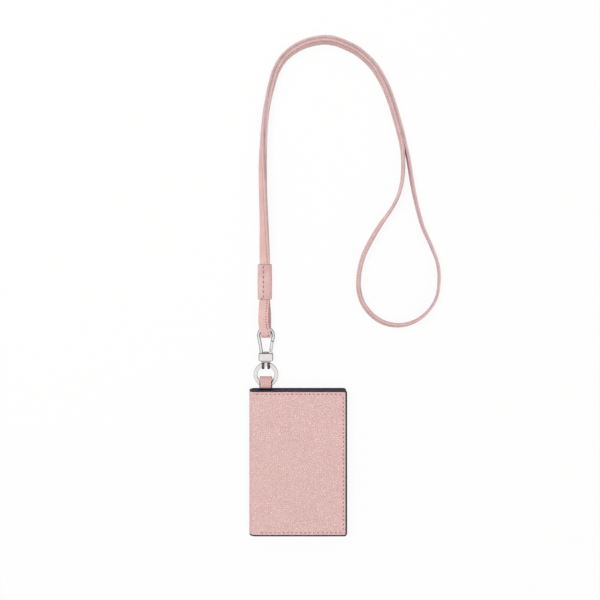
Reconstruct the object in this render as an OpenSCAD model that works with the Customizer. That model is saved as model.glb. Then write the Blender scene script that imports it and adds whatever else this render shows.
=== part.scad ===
// Leather badge wallet that folds flat open, with a split ring, a swivel snap hook and a long
// flat leather neck strap. It lies on its back cover: +Z up, the strap reaches towards +Y.

/* [Wallet] */
// Width of the closed wallet, from the spine to the open edge
wallet_w = 74; // [66:1:84]
// Height of the wallet
wallet_h = 110; // [96:1:124]
// Thickness of the closed wallet
wallet_t = 9.6; // [9:0.1:12]
// Thickness of the outer leather of the covers and the spine
skin_t = 1.4; // [1:0.1:1.6]
// Thickness of the stiff board inside each cover
board_t = 1; // [0.6:0.1:1.1]
// Thickness of the lining
lining_t = 0.6; // [0.4:0.1:0.7]
// Width of the painted edge round each cover
edge_w = 1; // [0.8:0.1:1.4]
// Radius of the covers' outer corners
corner_r = 2.3; // [1.5:0.1:4]

/* [Card pockets] */
// Thickness of the leather of each card slot
slot_t = 0.5; // [0.4:0.05:0.5]
// Height of the lowest card slot
slot_h = 46; // [40:1:50]
// Step from one card slot's mouth to the next
slot_step = 13; // [9:1:14]
// Distance from the clear window's opening to the spine and to the open edge
window_side = 10; // [8.6:0.1:12]
// Height of the opening of the clear window
window_h = 80; // [70:1:84]
// Width of the leather frame round the window
frame_w = 5; // [4:0.5:5.5]
// Thickness of the window's clear film
film_t = 0.3; // [0.2:0.05:0.35]
// Thickness of the window's leather frame
frame_t = 0.6; // [0.5:0.05:0.65]

/* [Stitching] */
// Distance from one stitch of the covers to the next
stitch_pitch = 3.27; // [2.8:0.1:4]
// Length of one stitch of the covers
stitch_l = 1.9; // [1.4:0.1:2.2]
// Width of the thread
thread_w = 0.6; // [0.4:0.05:0.7]
// Distance from a cover's edge to its stitches
stitch_in = 2.9; // [2.6:0.1:3.6]
// Slant of each stitch
stitch_turn = 14; // [0:1:20]

/* [Tab] */
// Width of the leather tab that holds the ring
tab_w = 9.5; // [8.5:0.1:11]
// Thickness of the tab's leather
tab_t = 1.1; // [0.9:0.1:1.1]
// Reach of the tab above the wallet
tab_reach = 9.5; // [9.4:0.1:11]
// Length of the tab's two plies that are sewn inside the wallet
tab_root = 8; // [6:0.5:8.5]
// Distance from the spine to the middle of the tab
tab_from_spine = 12.6; // [11:0.1:16]

/* [Split ring] */
// Outer diameter of the ring
ring_d = 18.6; // [18:0.1:19]
// Width of the ring's flat wire
ring_w = 2.8; // [2.4:0.1:2.9]
// Thickness of the ring's wire in one turn
ring_t = 0.95; // [0.8:0.05:1]

/* [Snap hook] */
// Width of the swivel block
block_w = 10.9; // [10:0.1:12]
// Length of the swivel block
block_l = 5.9; // [5:0.1:8]
// Thickness of the swivel block
block_t = 7; // [6:0.1:7.2]
// Diameter of the swivel's shank
shank_d = 2.4; // [2:0.1:2.8]
// Diameter of the hook's bar
bar_d = 2.5; // [2.2:0.1:2.6]
// Inner width of the hook at its bow
bow_w = 8.7; // [8.6:0.1:9.6]
// Inner width of the hook where it leaves the block
throat_w = 4.6; // [4.2:0.1:5.4]
// Length of the hook's opening, from the block to the bow
hook_l = 16.5; // [16:0.1:18.5]
// Diameter of the gate's pin
pin_d = 1; // [0.8:0.05:1.1]

/* [Strap] */
// Width of the strap
strap_w = 7.5; // [6.8:0.1:7.8]
// Thickness of the strap, two plies sewn together
strap_t = 2.1; // [1.8:0.05:2.1]
// Thickness of the keeper's leather
keeper_t = 1.1; // [0.8:0.05:1.1]
// Length of the keeper
keeper_l = 26.6; // [20:0.1:30]

/* [Clearances] */
// Gap between pieces that move past each other
gap = 0.3; // [0.25:0.01:0.35]
// Gap between pieces that are sewn or pressed side by side
seam = 0.1; // [0.08:0.01:0.12]
// Radial clearance of a shank or pin in its bore
running = 0.05; // [0.03:0.01:0.08]

/* [Hidden] */
$fn = 32;

pink = [0.88, 0.74, 0.73];
rose = [0.68, 0.46, 0.50];
navy = [0.16, 0.15, 0.23];
steel = [0.80, 0.80, 0.82];
// One overrun serves all cuts.
over = 0.5;
// A corner that only breaks an edge
break_r = 0.3;

// Wallet
cover_t = skin_t + board_t + lining_t;
fold_x = -wallet_w / 2 + skin_t / 2;
fold_z = skin_t / 2;
cover_x0 = fold_x + skin_t / 2 + gap;
cover_x1 = wallet_w / 2;
board_in = edge_w + gap;
// The seam groove is a share of the skin's thickness deep.
groove_share = 0.35;
groove_d = skin_t * groove_share;
groove_w = thread_w * 2;

// Tab and ring. The hardware's middle plane is the middle of the tab's two plies.
tab_x = -wallet_w / 2 + tab_from_spine;
mid_z = cover_t + tab_t;
tab_top = wallet_h / 2 + tab_reach;
loop_half = mid_z - 2 * seam;
ring_r = ring_d / 2;
ring_mid_r = ring_r - ring_w / 2;
// The ring hangs in the tab's fold, this many thicknesses of the tab clear of the wallet.
ring_rise = 1.45;
ring_y = wallet_h / 2 + ring_rise * tab_t + ring_r;
ring_gap = seam;
// Its axis in the tab halves the bow of the wire across the tab.
wire_bow = ring_mid_r - sqrt(pow(ring_mid_r, 2) - pow(tab_w / 2, 2));
ring_axis_y = ring_y - ring_mid_r + wire_bow / 2;
loop_y0 = ring_axis_y;
loop_y1 = tab_top - loop_half;
ring_end = 207;
ring_ramp = 26;
ring_slit = 2;

// Swivel eye: two prongs round the ring's far side
eye_share = 0.28;
eye_y = ring_y + ring_mid_r - eye_share * wire_bow;
eye_r = 2.5;
prong_t = 0.85;
prong_w = 1.9;
prong_x = 2.1;
plate_y = ring_y + ring_r + gap;
plate_t = prong_t;
block_y = plate_y + plate_t + gap / 2;
block_top = block_y + block_l;
head_r = shank_d * 0.9;
head_t = shank_d / 3;
head_taper = 0.7;

// Hook and gate
block_r = bar_d * 0.4;
bow_y = block_top + hook_l + bar_d / 2;
foot_half = (throat_w + bar_d) / 2;
bow_half = (bow_w + bar_d) / 2;
gate_x = tab_x + foot_half;
pivot_y = block_top + bar_d / 2 + gap;
gate_t = bar_d * 0.62;
ear_t = bar_d * 0.3;
ear_r = bar_d / 2;
hub_r = bar_d * 0.45;
spring_wire = 0.25;
spring_turns = 3;
// Height above the block, as a share of the opening's length, and spread from the foot (0)
// to the bow (1), for the two legs of the hook
leg_shares = [[0.175, 0.13], [0.385, 0.39], [0.6, 0.68], [0.71, 0.93]];
// Half of the bow: distance from the middle and drop from the top, as shares of its half width
bow_shares = [[1, 0.95], [0.98, 0.7], [0.93, 0.46], [0.85, 0.27], [0.75, 0.13], [0.6, 0.04],
    [0.42, 0]];
// Height of the slanted split between the beak and the gate, and its spread
split_shares = [0.545, 0.62];

// Strap. A flat strand lies above and one below the bow, and the bight turns under it.
bight_r = mid_z - strap_t / 2;
bight_y = bow_y - bar_d / 2 - strap_w / 8;
keeper_y0 = 123.1;
keeper_x = -25.3;
keeper_h = 2 * keeper_t + 2 * strap_t + 3 * seam;
keeper_w = strap_w + 2 * keeper_t + 3 * gap;
low_z = keeper_t + seam + strap_t / 2;
high_z = low_z + strap_t + seam;
// Distance between the middles of the two strands side by side, past the keeper, where they
// lean together at the top
strand_gap = 2.6;
strand_lean = 3.5;
// Between the keeper and the hook the upper strand lies to the left and the lower to the right.
upper_sway = -0.9;
lower_sway = 0.9;
strand_mid = low_z + (strap_t + seam) / 2;

// Route of the pair of strands from the keeper over the arch: x, y and the turn from lying
// flat (0) to standing on edge (90), by hand.
pair_route = [
    [-25.4, 155, 12], [-25.5, 165, 29], [-25.7, 180, 43], [-26.3, 199, 51],
    [-26.6, 214, 56], [-26.6, 226, 66], [-26.2, 240, 76], [-25.1, 258, 83],
    [-23.1, 274, 87], [-20.4, 286, 92], [-16.4, 298.2, 93], [-11, 306.8, 94],
    [-3, 313.6, 94], [5, 317.7, 95], [13, 319.9, 95], [20.5, 320.8, 95], [28, 319.8, 95],
    [36.3, 316.8, 94], [43.8, 313.1, 94], [51.1, 307.6, 93], [57.9, 300.5, 93],
    [63.2, 292.4, 92], [67.5, 283.8, 92], [71.2, 274, 91], [74.9, 262, 90], [78, 251, 90],
    [80.3, 241, 90]
];
// Route of the single strand round the teardrop, from the inner strand to the outer one.
drop_route = [
    [80, 228, 90], [79.4, 214.5, 90.5], [76.7, 203, 91], [71.5, 192.4, 90],
    [63.8, 181.5, 84], [55.8, 168.6, 80], [49.4, 155, 82], [46.3, 141.5, 82],
    [46.3, 130, 80], [50.2, 118.6, 76], [57.6, 110, 73], [66, 105.1, 71], [75, 103.3, 71],
    [84, 104.4, 72], [92.5, 108.4, 74], [100, 115.2, 76], [105.2, 124, 78],
    [107.3, 136, 80], [106.3, 150, 82], [101.6, 163, 84], [95.4, 177, 86],
    [89.7, 197.5, 88], [86.5, 214, 90], [84.3, 228, 90]
];

function unit(v) = v / norm(v);
function flat_dir(points, i) = unit([
    points[min(i + 1, len(points) - 1)][0] - points[max(i - 1, 0)][0],
    points[min(i + 1, len(points) - 1)][1] - points[max(i - 1, 0)][1]
]);
// Direction that the strap's raw edge points in, and the way that its outer face looks.
function edge_dir(d, turn) = [d[1] * cos(turn), -d[0] * cos(turn), sin(turn)];
function face_dir(d, turn) = [-d[1] * sin(turn), d[0] * sin(turn), cos(turn)];
// One strand of the pair: side 1 is the outer strand and -1 the inner one. They part and lean
// up to this turn.
lean_turn = 60;
function lean_part(turn) = min(turn / lean_turn, 1);
function strand_space(turn) = strap_t + seam + (strand_gap - strap_t - seam) * lean_part(turn);
// While they twist, the outer strand slides over the inner one, so that it lies above it. The
// slide fades out from one turn over the next few degrees.
slide_share = 0.8;
fade_from = 50;
fade_over = 25;
function strand_slide(turn) = strand_space(turn) * slide_share * tan(min(turn, lean_turn))
    * (1 - max(min((turn - fade_from) / fade_over, 1), 0));
// Half the height that the pair takes, and its middle, which keeps the lower edge off the table
function pair_half(turn) = (strand_space(turn) + strap_t) / 2 * abs(cos(turn))
    + (strand_slide(turn) + strap_w) / 2 * sin(turn) + strap_w / 8 * sin(strand_lean);
function strand_lift(turn) = max(strand_mid * (1 - turn / lean_turn), pair_half(turn));
function strand_spot(i, side) =
    let (p = pair_route[i], d = flat_dir(pair_route, i), turn = p[2],
        own = turn - side * strand_lean * lean_part(turn))
    [
        [p[0], p[1], strand_lift(turn)]
            + face_dir(d, turn) * side * strand_space(turn) / 2
            + edge_dir(d, turn) * side * strand_slide(turn) / 2,
        edge_dir(d, own), side * face_dir(d, own)
    ];
function drop_spot(i) =
    let (p = drop_route[i], d = -flat_dir(drop_route, i), turn = p[2])
    [
        [p[0], p[1], strap_w / 2 * sin(turn) + strap_t / 2 * cos(turn)],
        edge_dir(d, turn), face_dir(d, turn)
    ];
// Middle of a strand inside the keeper and at its ends, lying flat.
function flat_spot(x, y, z, down) = [[x, y, z], [1, 0, 0], [0, 0, down]];
keeper_mid = keeper_y0 + keeper_l / 2;
keeper_y1 = keeper_y0 + keeper_l;
pair_n = len(pair_route);
drop_n = len(drop_route);
loop_spots = concat(
    [flat_spot(keeper_x, keeper_mid, low_z, -1), flat_spot(keeper_x, keeper_y1, low_z, -1)],
    [for (i = [0:pair_n - 1]) strand_spot(i, -1)],
    [for (i = [0:drop_n - 1]) drop_spot(i)],
    [for (i = [pair_n - 1:-1:0]) strand_spot(i, 1)],
    [flat_spot(keeper_x, keeper_y1, high_z, 1), flat_spot(keeper_x, keeper_mid, high_z, 1)]
);
bight_turns = 6;
bight_spots = concat(
    [
        flat_spot(keeper_x, keeper_mid, high_z, 1),
        flat_spot(keeper_x - gap, keeper_y0, high_z, 1),
        flat_spot(keeper_x + upper_sway, (keeper_y0 + bow_y) / 2, mid_z + bight_r, 1),
        flat_spot(keeper_x + upper_sway / 2, bow_y + bar_d, mid_z + bight_r, 1)
    ],
    [
        for (i = [0:bight_turns])
            let (a = 180 * i / bight_turns)
            [
                [tab_x, bight_y - sin(a) * bight_r, mid_z + cos(a) * bight_r],
                [1, 0, 0], [0, -sin(a), cos(a)]
            ]
    ],
    [
        flat_spot(keeper_x + lower_sway, (keeper_y0 + bow_y) / 2, mid_z - bight_r, -1),
        flat_spot(keeper_x, keeper_y0, low_z, -1),
        flat_spot(keeper_x, keeper_mid, low_z, -1)
    ]
);
// Half outline of the strap's section, as shares of its half width and half thickness.
section_shares = [
    [1, 0.5], [0.85, 1], [-0.85, 1], [-1, 0.5], [-1, -0.5], [-0.85, -1], [0.85, -1], [1, -0.5]
];
function ring_points(spot) = [
    for (s = section_shares)
        spot[0] + spot[1] * s[0] * strap_w / 2 + spot[2] * s[1] * strap_t / 2
];

// A closed tube through rings of the same number of points.
module tube(rings) {
    n = len(rings[0]);
    m = len(rings);
    points = [for (r = rings) each r];
    sides = [
        for (i = [0:m - 2], j = [0:n - 1])
            each [
                [i * n + j, i * n + (j + 1) % n, (i + 1) * n + j],
                [i * n + (j + 1) % n, (i + 1) * n + (j + 1) % n, (i + 1) * n + j]
            ]
    ];
    ends = [
        [for (j = [n - 1:-1:0]) j],
        [for (j = [0:n - 1]) (m - 1) * n + j]
    ];
    polyhedron(points, concat(sides, ends), convexity = 10);
}

// Outline of a cover: square at the spine, round at the two outer corners.
module cover_outline(inset) {
    r = max(corner_r - inset, break_r);
    difference() {
        translate([cover_x0, -wallet_h / 2 + inset])
            square([cover_x1 - inset - cover_x0, wallet_h - 2 * inset]);
        for (s = [-1, 1])
            translate([cover_x1 - inset - r, s * (wallet_h / 2 - inset - r)])
                difference() {
                    translate([0, s > 0 ? 0 : -r - over]) square([r + over, r + over]);
                    circle(r);
                }
    }
}

// A cover's plate, from z0 up.
module cover_plate(inset, z0, t) {
    translate([0, 0, z0]) linear_extrude(t) cover_outline(inset);
}

// Outer leather with a groove for the stitches along its three free sides.
module cover_skin(z0, groove_z) {
    difference() {
        cover_plate(edge_w, z0, skin_t);
        translate([0, 0, groove_z]) linear_extrude(groove_d) seam_band();
    }
}

module seam_band() {
    difference() {
        cover_outline(stitch_in - groove_w / 2);
        difference() {
            cover_outline(stitch_in + groove_w / 2);
            translate([cover_x0 - over, -wallet_h]) square([edge_w + over, 2 * wallet_h]);
        }
        translate([cover_x0 - over, -wallet_h]) square([edge_w + over, 2 * wallet_h]);
    }
}

// Painted edge: it closes the layers along the three free sides.
module cover_edge(z0) {
    difference() {
        cover_plate(0, z0, cover_t);
        translate([0, 0, z0 - over]) linear_extrude(cover_t + 2 * over)
            cover_outline(edge_w);
    }
}

// The stitches of one cover, along its three free sides.
module cover_thread(z0, t) {
    x_end = cover_x1 - stitch_in;
    y_end = wallet_h / 2 - stitch_in;
    across = floor((x_end - cover_x0 - stitch_pitch) / stitch_pitch);
    along = floor((2 * y_end - stitch_pitch) / stitch_pitch);
    for (s = [-1, 1], i = [0:across - 1])
        stitch(x_end - stitch_pitch * (i + 1), s * y_end, z0, t, s * stitch_turn);
    for (i = [0:along])
        stitch(x_end, (i - along / 2) * stitch_pitch, z0, t, 90 + stitch_turn);
}

module stitch(x, y, z0, t, turn) {
    translate([x, y, z0]) rotate([0, 0, turn])
        translate([-stitch_l / 2, -thread_w / 2, 0]) cube([stitch_l, thread_w, t]);
}

module back_skin() { color(pink) cover_skin(0, 0); }
module back_edge() { color(navy) cover_edge(0); }
module back_board() {
    color("dimgray") cover_plate(board_in, skin_t, board_t);
}
module back_lining() {
    color(navy) cover_plate(edge_w, skin_t + board_t, lining_t);
}
module back_thread() { color(rose) cover_thread(seam, groove_d - seam); }

// The clear window lies below the tab's plies.
window_w = wallet_w - 2 * window_side;
window_x = (cover_x0 + cover_x1 - edge_w) / 2;
window_y = -(tab_root + gap) / 2;

module id_film() {
    color([0.8, 0.9, 1, 0.4])
        translate([window_x - window_w / 2 - frame_w / 2, window_y - window_h / 2 - frame_w / 2,
            cover_t])
            cube([window_w + frame_w, window_h + frame_w, film_t]);
}

// Leather frame of the window, sewn on over the film, open for a card at the spine side
module id_frame() {
    color(navy) translate([0, 0, cover_t + film_t]) linear_extrude(frame_t)
        difference() {
            translate([window_x - window_w / 2 - frame_w, window_y - window_h / 2 - frame_w])
                square([window_w + 2 * frame_w, window_h + 2 * frame_w]);
            translate([window_x - window_w / 2, window_y - window_h / 2])
                square([window_w, window_h]);
        }
}

// Section of the tab: two plies from inside the wallet, then a loop round the ring's wire
module tab_outline() {
    y0 = wallet_h / 2 - tab_root;
    y1 = loop_y0 - loop_half + tab_t / 2;
    difference() {
        union() {
            translate([y0, mid_z - tab_t]) square([y1 - y0, 2 * tab_t]);
            loop_shape(loop_half);
        }
        loop_shape(loop_half - tab_t);
    }
}

module loop_shape(half) {
    translate([loop_y0, mid_z]) circle(half);
    translate([loop_y1, mid_z]) circle(half);
    translate([loop_y0, mid_z - half]) square([loop_y1 - loop_y0, 2 * half]);
}

module tab() {
    color(pink) translate([tab_x - tab_w / 2, 0, 0])
        rotate([90, 0, 90]) linear_extrude(tab_w) tab_outline();
}

module tab_thread() {
    color(rose) for (s = [-1, 1], i = [0:1])
        stitch(tab_x + s * (tab_w / 2 - edge_w), wallet_h / 2 - stitch_pitch * (i + 1 / 2),
            mid_z + tab_t, thread_w / 2, 90);
}

module spine_skin() {
    color(pink) {
        translate([fold_x - skin_t / 2, -wallet_h / 2, fold_z])
            cube([skin_t, wallet_h, wallet_t - 2 * fold_z]);
        for (z = [fold_z, wallet_t - fold_z])
            translate([fold_x, wallet_h / 2, z]) rotate([90, 0, 0])
                cylinder(h = wallet_h, r = skin_t / 2);
    }
}

module spine_lining() {
    color(navy)
        translate([fold_x + skin_t / 2, -wallet_h / 2 + edge_w, cover_t + gap])
            cube([lining_t, wallet_h - 2 * edge_w, wallet_t - 2 * (cover_t + gap)]);
}

module front_skin() { color(pink) cover_skin(wallet_t - skin_t, wallet_t - groove_d); }
module front_edge() { color(navy) cover_edge(wallet_t - cover_t); }
module front_board() {
    color("dimgray") cover_plate(board_in, wallet_t - skin_t - board_t, board_t);
}
module front_lining() {
    color(navy) cover_plate(edge_w, wallet_t - cover_t, lining_t);
}
module front_thread() { color(rose) cover_thread(wallet_t - groove_d, groove_d + seam); }

// Card slots on the inside of the front cover. Each lies on the one before, mouth upwards.
module card_slot_1() {
    side = edge_w + seam;
    color(navy)
        translate([cover_x0 + side, -wallet_h / 2 + side, wallet_t - cover_t - slot_t])
            cube([cover_x1 - cover_x0 - 2 * side, slot_h, slot_t]);
}
// The upper slots are strips that start where the slot before them ends.
module card_strip(level) {
    side = edge_w + seam;
    y0 = -wallet_h / 2 + side + slot_h + (level - 1) * slot_step;
    color(navy)
        translate([cover_x0 + side, y0 + seam, wallet_t - cover_t - slot_t])
            cube([cover_x1 - cover_x0 - 2 * side, slot_step - seam, slot_t]);
}
module card_slot_2() { card_strip(1); }
module card_slot_3() { card_strip(2); }

// Split ring: one wire wound twice, with a ramp beside its two ends.
wire_shares = [
    [1, 0.45], [0.72, 1], [-0.72, 1], [-1, 0.45], [-1, -0.45], [-0.72, -1], [0.72, -1], [1, -0.45]
];
ring_steps = 80;
function ring_level(a) = a < 360 - ring_ramp ? -1
    : a > 360 ? 1
    : -cos(180 * (a - 360 + ring_ramp) / ring_ramp);
function ring_spot(a) = [
    for (s = wire_shares)
        let (r = ring_mid_r + s[0] * ring_w / 2, turn = ring_end + ring_ramp + a)
        [
            r * cos(turn), r * sin(turn),
            (ring_level(a) * (ring_t + ring_gap) + s[1] * ring_t) / 2
        ]
];
module split_ring() {
    span = 720 - ring_ramp - 2 * ring_slit;
    color(steel) translate([tab_x, ring_y, mid_z])
        tube([for (i = [0:ring_steps]) ring_spot(ring_slit + i * span / ring_steps)]);
}

// Swivel eye: two prongs round the ring, a plate under the block and a shank through it.
module swivel_eye() {
    color(steel) {
        for (s = [-1, 1])
            translate([tab_x + s * prong_x - prong_w / 2, eye_y, mid_z]) rotate([0, 90, 0])
                difference() {
                    cylinder(h = prong_w, r = eye_r + prong_t);
                    translate([0, 0, -over]) cylinder(h = prong_w + 2 * over, r = eye_r);
                    translate([-wallet_t, plate_y - eye_y, -over])
                        cube([2 * wallet_t, wallet_t, prong_w + 2 * over]);
                }
        translate([tab_x - prong_x - prong_w / 2, plate_y, mid_z - eye_r])
            cube([2 * prong_x + prong_w, plate_t, 2 * eye_r]);
        translate([tab_x, plate_y + plate_t / 2, mid_z]) rotate([-90, 0, 0])
            cylinder(h = block_top + gap / 2 - plate_y, r = shank_d / 2);
        translate([tab_x, block_top + gap / 2, mid_z]) rotate([-90, 0, 0])
            cylinder(h = head_t, r1 = head_r, r2 = head_r * head_taper);
    }
}

// Places on the middle line of the hook's bar
function leg_spot(share, side) = [
    tab_x + side * (foot_half + share[1] * (bow_half - foot_half)),
    block_top + share[0] * hook_l
];
function bow_spot(share, side) = [
    tab_x + side * share[0] * bow_half, bow_y - share[1] * bow_half
];
left_route = concat(
    [[tab_x - foot_half, block_top - over], [tab_x - foot_half, block_top]],
    [for (s = leg_shares) leg_spot(s, -1)],
    [for (s = bow_shares) bow_spot(s, -1)]
);
right_route = concat(
    [for (i = [len(bow_shares) - 1:-1:0]) bow_spot(bow_shares[i], 1)],
    [leg_spot(leg_shares[3], 1), leg_spot(split_shares, 1) + [0, gap / 4]]
);
gate_route = [
    [gate_x, pivot_y - hub_r / 2], leg_spot(leg_shares[0], 1), leg_spot(leg_shares[1], 1),
    leg_spot(split_shares, 1) - [0, gap / 4]
];
// A ring of points round a bar: its own half width and half height, and a slant at its end.
function bar_ring(route, i, half_w, half_t, slant, sides) =
    let (d = flat_dir(route, i))
    [
        for (k = [0:sides - 1])
            let (u = half_w * cos(360 * (k + 0.5) / sides), v = half_t * sin(360 * (k + 0.5) / sides))
            [route[i][0] + u * d[1], route[i][1] - u * d[0] + slant * u, mid_z + v]
    ];

module hook_bar(route, slant) {
    n = len(route);
    tube([
        for (i = [0:n - 1])
            bar_ring(route, i, bar_d / 2, bar_d / 2, i == n - 1 ? slant : 0, 12)
    ]);
}

// The straight middle of the bow, which the strap turns on
module bow_middle() {
    half = bow_shares[len(bow_shares) - 1][0] * bow_half;
    translate([tab_x - half, bow_y, mid_z]) rotate([0, 90, 0]) cylinder(h = 2 * half, r = bar_d / 2);
}

module hook_body() {
    color(steel) {
        difference() {
            block();
            translate([tab_x, block_y - over, mid_z]) rotate([-90, 0, 0])
                cylinder(h = block_l + 2 * over, r = shank_d / 2 + running);
        }
        hook_bar(left_route, 0);
        bow_middle();
        hook_bar(right_route, 1);
        for (z = [mid_z - gate_t / 2 - gap / 2 - ear_t, mid_z + gate_t / 2 + gap / 2]) ear(z);
    }
}

module block() {
    r = block_r;
    translate([tab_x, block_y, mid_z]) rotate([-90, 0, 0]) linear_extrude(block_l)
        union() {
            square([block_w - 2 * r, block_t], center = true);
            square([block_w, block_t - 2 * r], center = true);
            for (x = [-1, 1], y = [-1, 1])
                translate([x * (block_w / 2 - r), y * (block_t / 2 - r)]) circle(r);
        }
}

// One of the two ears that hold the gate's pin
module ear(z) {
    difference() {
        union() {
            translate([gate_x, pivot_y, z]) cylinder(h = ear_t, r = ear_r);
            translate([gate_x - ear_r, block_top - over, z])
                cube([2 * ear_r, pivot_y - block_top + over, ear_t]);
        }
        translate([gate_x, pivot_y, z - over])
            cylinder(h = ear_t + 2 * over, r = pin_d / 2 + running);
    }
}

module gate_pin() {
    h = gate_t + gap + 2 * ear_t;
    color(steel) translate([gate_x, pivot_y, mid_z - h / 2]) cylinder(h = h, r = pin_d / 2);
}

// The gate: a hub on the pin, open in the middle for the spring, and a bar up to the beak
module gate() {
    n = len(gate_route);
    color(steel) difference() {
        union() {
            translate([gate_x, pivot_y, mid_z - gate_t / 2]) cylinder(h = gate_t, r = hub_r);
            tube([
                for (i = [0:n - 1])
                    bar_ring(gate_route, i, hub_r, i == 0 ? gate_t / 2 - seam : gate_t / 2,
                        i == n - 1 ? -1 : 0, 8)
            ]);
        }
        translate([gate_x, pivot_y, mid_z - gate_t])
            cylinder(h = 2 * gate_t, r = pin_d / 2 + running);
        translate([gate_x, pivot_y, mid_z - gate_t / 4])
            cylinder(h = gate_t / 2, r = hub_r + gap);
    }
}

// Torsion spring round the gate's pin
module gate_spring() {
    r = pin_d / 2 + running + seam + spring_wire / 2;
    rise = gate_t / 2 - spring_wire - seam;
    n = 12 * spring_turns;
    color(steel) translate([gate_x, pivot_y, mid_z - rise / 2])
        tube([
            for (i = [0:n])
                let (a = 360 * spring_turns * i / n)
                [
                    for (k = [0:5])
                        let (w = spring_wire / 2, rr = r + w * cos(60 * k))
                        [rr * cos(a), rr * sin(a), rise * i / n + w * sin(60 * k)]
                ]
        ]);
}

module strap_bight() { color(pink) tube([for (s = bight_spots) ring_points(s)]); }
module strap_loop() { color(pink) tube([for (s = loop_spots) ring_points(s)]); }

// Keeper: a leather sleeve sewn round both strands
module keeper() {
    color(pink) difference() {
        keeper_box(keeper_w, keeper_h, keeper_l, 0);
        translate([keeper_x - keeper_w / 2 + keeper_t, keeper_y0 - over, keeper_t])
            cube([keeper_w - 2 * keeper_t, keeper_l + 2 * over, keeper_h - 2 * keeper_t]);
        translate([keeper_seam_x - groove_w / 2, keeper_y0 - over, keeper_h - groove_d])
            cube([groove_w, keeper_l + 2 * over, groove_d + over]);
    }
}
keeper_seam_share = 0.08;
keeper_seam_x = keeper_x - keeper_w * keeper_seam_share;
keeper_stitches = 7;
// What is left at each end of the keeper, in stitches
keeper_rest = 0.1;
keeper_pitch = keeper_l / (keeper_stitches + 2 * keeper_rest);

module keeper_box(w, h, l, z) {
    r = keeper_t;
    translate([keeper_x, keeper_y0, z + h / 2]) rotate([-90, 0, 0]) linear_extrude(l)
        union() {
            square([w - 2 * r, h], center = true);
            square([w, h - 2 * r], center = true);
            for (x = [-1, 1], y = [-1, 1])
                translate([x * (w / 2 - r), y * (h / 2 - r)]) circle(r);
        }
}

module keeper_thread() {
    last = (keeper_stitches - 1) / 2;
    color(rose) for (i = [-last:last])
        stitch(keeper_seam_x, keeper_mid + i * keeper_pitch, keeper_h - groove_d,
            groove_d + seam, 90 - stitch_turn);
}

back_skin();
back_edge();
back_board();
back_lining();
id_frame();
id_film();
back_thread();
tab();
tab_thread();
spine_skin();
spine_lining();
front_skin();
front_edge();
front_board();
front_lining();
card_slot_1();
card_slot_2();
card_slot_3();
front_thread();
split_ring();
swivel_eye();
hook_body();
gate_pin();
gate();
gate_spring();
strap_bight();
strap_loop();
keeper();
keeper_thread();
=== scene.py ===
"""Looks of the id badge wallet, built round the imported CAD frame.

Lengths in this script are in millimetres, in the frame's own axes, until make_piece turns
them into metres. The frame lies on its back cover: +Z up, and the strap reaches towards +Y.
"""

import logging
import math
from dataclasses import dataclass, field
from enum import Enum
from typing import Callable, Iterable, Optional, Sequence

import bmesh
import bpy
import numpy as np
from bpy.types import Material, NodeOutputs, NodeSocket, NodeTree, Object
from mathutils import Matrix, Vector


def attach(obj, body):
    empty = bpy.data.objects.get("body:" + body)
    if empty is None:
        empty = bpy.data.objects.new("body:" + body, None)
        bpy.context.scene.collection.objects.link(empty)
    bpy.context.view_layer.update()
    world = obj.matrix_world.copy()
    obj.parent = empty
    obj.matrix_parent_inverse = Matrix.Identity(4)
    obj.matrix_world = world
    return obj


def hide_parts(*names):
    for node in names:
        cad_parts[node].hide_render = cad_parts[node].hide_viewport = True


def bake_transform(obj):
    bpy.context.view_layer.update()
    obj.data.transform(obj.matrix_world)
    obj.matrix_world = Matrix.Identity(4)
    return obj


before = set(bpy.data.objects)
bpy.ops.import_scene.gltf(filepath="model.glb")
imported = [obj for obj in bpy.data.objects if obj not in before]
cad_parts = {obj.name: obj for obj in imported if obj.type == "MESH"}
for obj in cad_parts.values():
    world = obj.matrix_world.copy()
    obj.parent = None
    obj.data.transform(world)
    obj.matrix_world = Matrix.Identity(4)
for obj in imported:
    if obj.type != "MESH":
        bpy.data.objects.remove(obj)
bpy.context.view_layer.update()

LOG = logging.getLogger("badge_wallet")
MM = 0.001

Colour = tuple[float, ...]
Faces = list[tuple[int, ...]]
Part = tuple[np.ndarray, Faces, list[int]]
Outline = Sequence[tuple[float, float]]
StitchSize = tuple[float, float, float, float]

ALONG_X, ALONG_Y, UP = np.eye(3)


# ---------------------------------------------------------------- shared sizes and options


class Side(Enum):
    """Which cover of the wallet a piece belongs to."""

    FRONT = "front"
    BACK = "back"


@dataclass(frozen=True)
class WalletSizes:
    """Sizes that several sub-assemblies share, as the part's source has them."""

    width: float = 74.0
    height: float = 110.0
    thickness: float = 9.6
    skin_t: float = 1.4
    board_t: float = 1.0
    lining_t: float = 0.6
    edge_w: float = 1.0
    corner_r: float = 2.3
    cover_x0: float = -35.3
    tab_x: float = -24.4
    mid_z: float = 4.1
    stitch_in: float = 2.9
    stitch_pitch: float = 3.27

    @property
    def cover_t(self) -> float:
        """Thickness of one cover."""
        return self.skin_t + self.board_t + self.lining_t

    @property
    def half_w(self) -> float:
        """Half the wallet's width, which is where the open edge lies."""
        return self.width / 2

    @property
    def half_h(self) -> float:
        """Half the wallet's height."""
        return self.height / 2


SIZES = WalletSizes()
AXIS_SPOT = np.array([SIZES.tab_x, 0, SIZES.mid_z])


def linear(shown: str) -> Colour:
    """Turns a colour as sRGB shows it into the linear values that shaders take.

    Args:
        shown: Its red, green and blue in hexadecimal.

    Returns:
        The linear colour, opaque.
    """
    shares = [value / 255 for value in bytes.fromhex(shown)]
    return (*[v / 12.92 if v <= 0.04045 else ((v + 0.055) / 1.055) ** 2.4 for v in shares], 1.0)


# ---------------------------------------------------------------- mesh making


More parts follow.
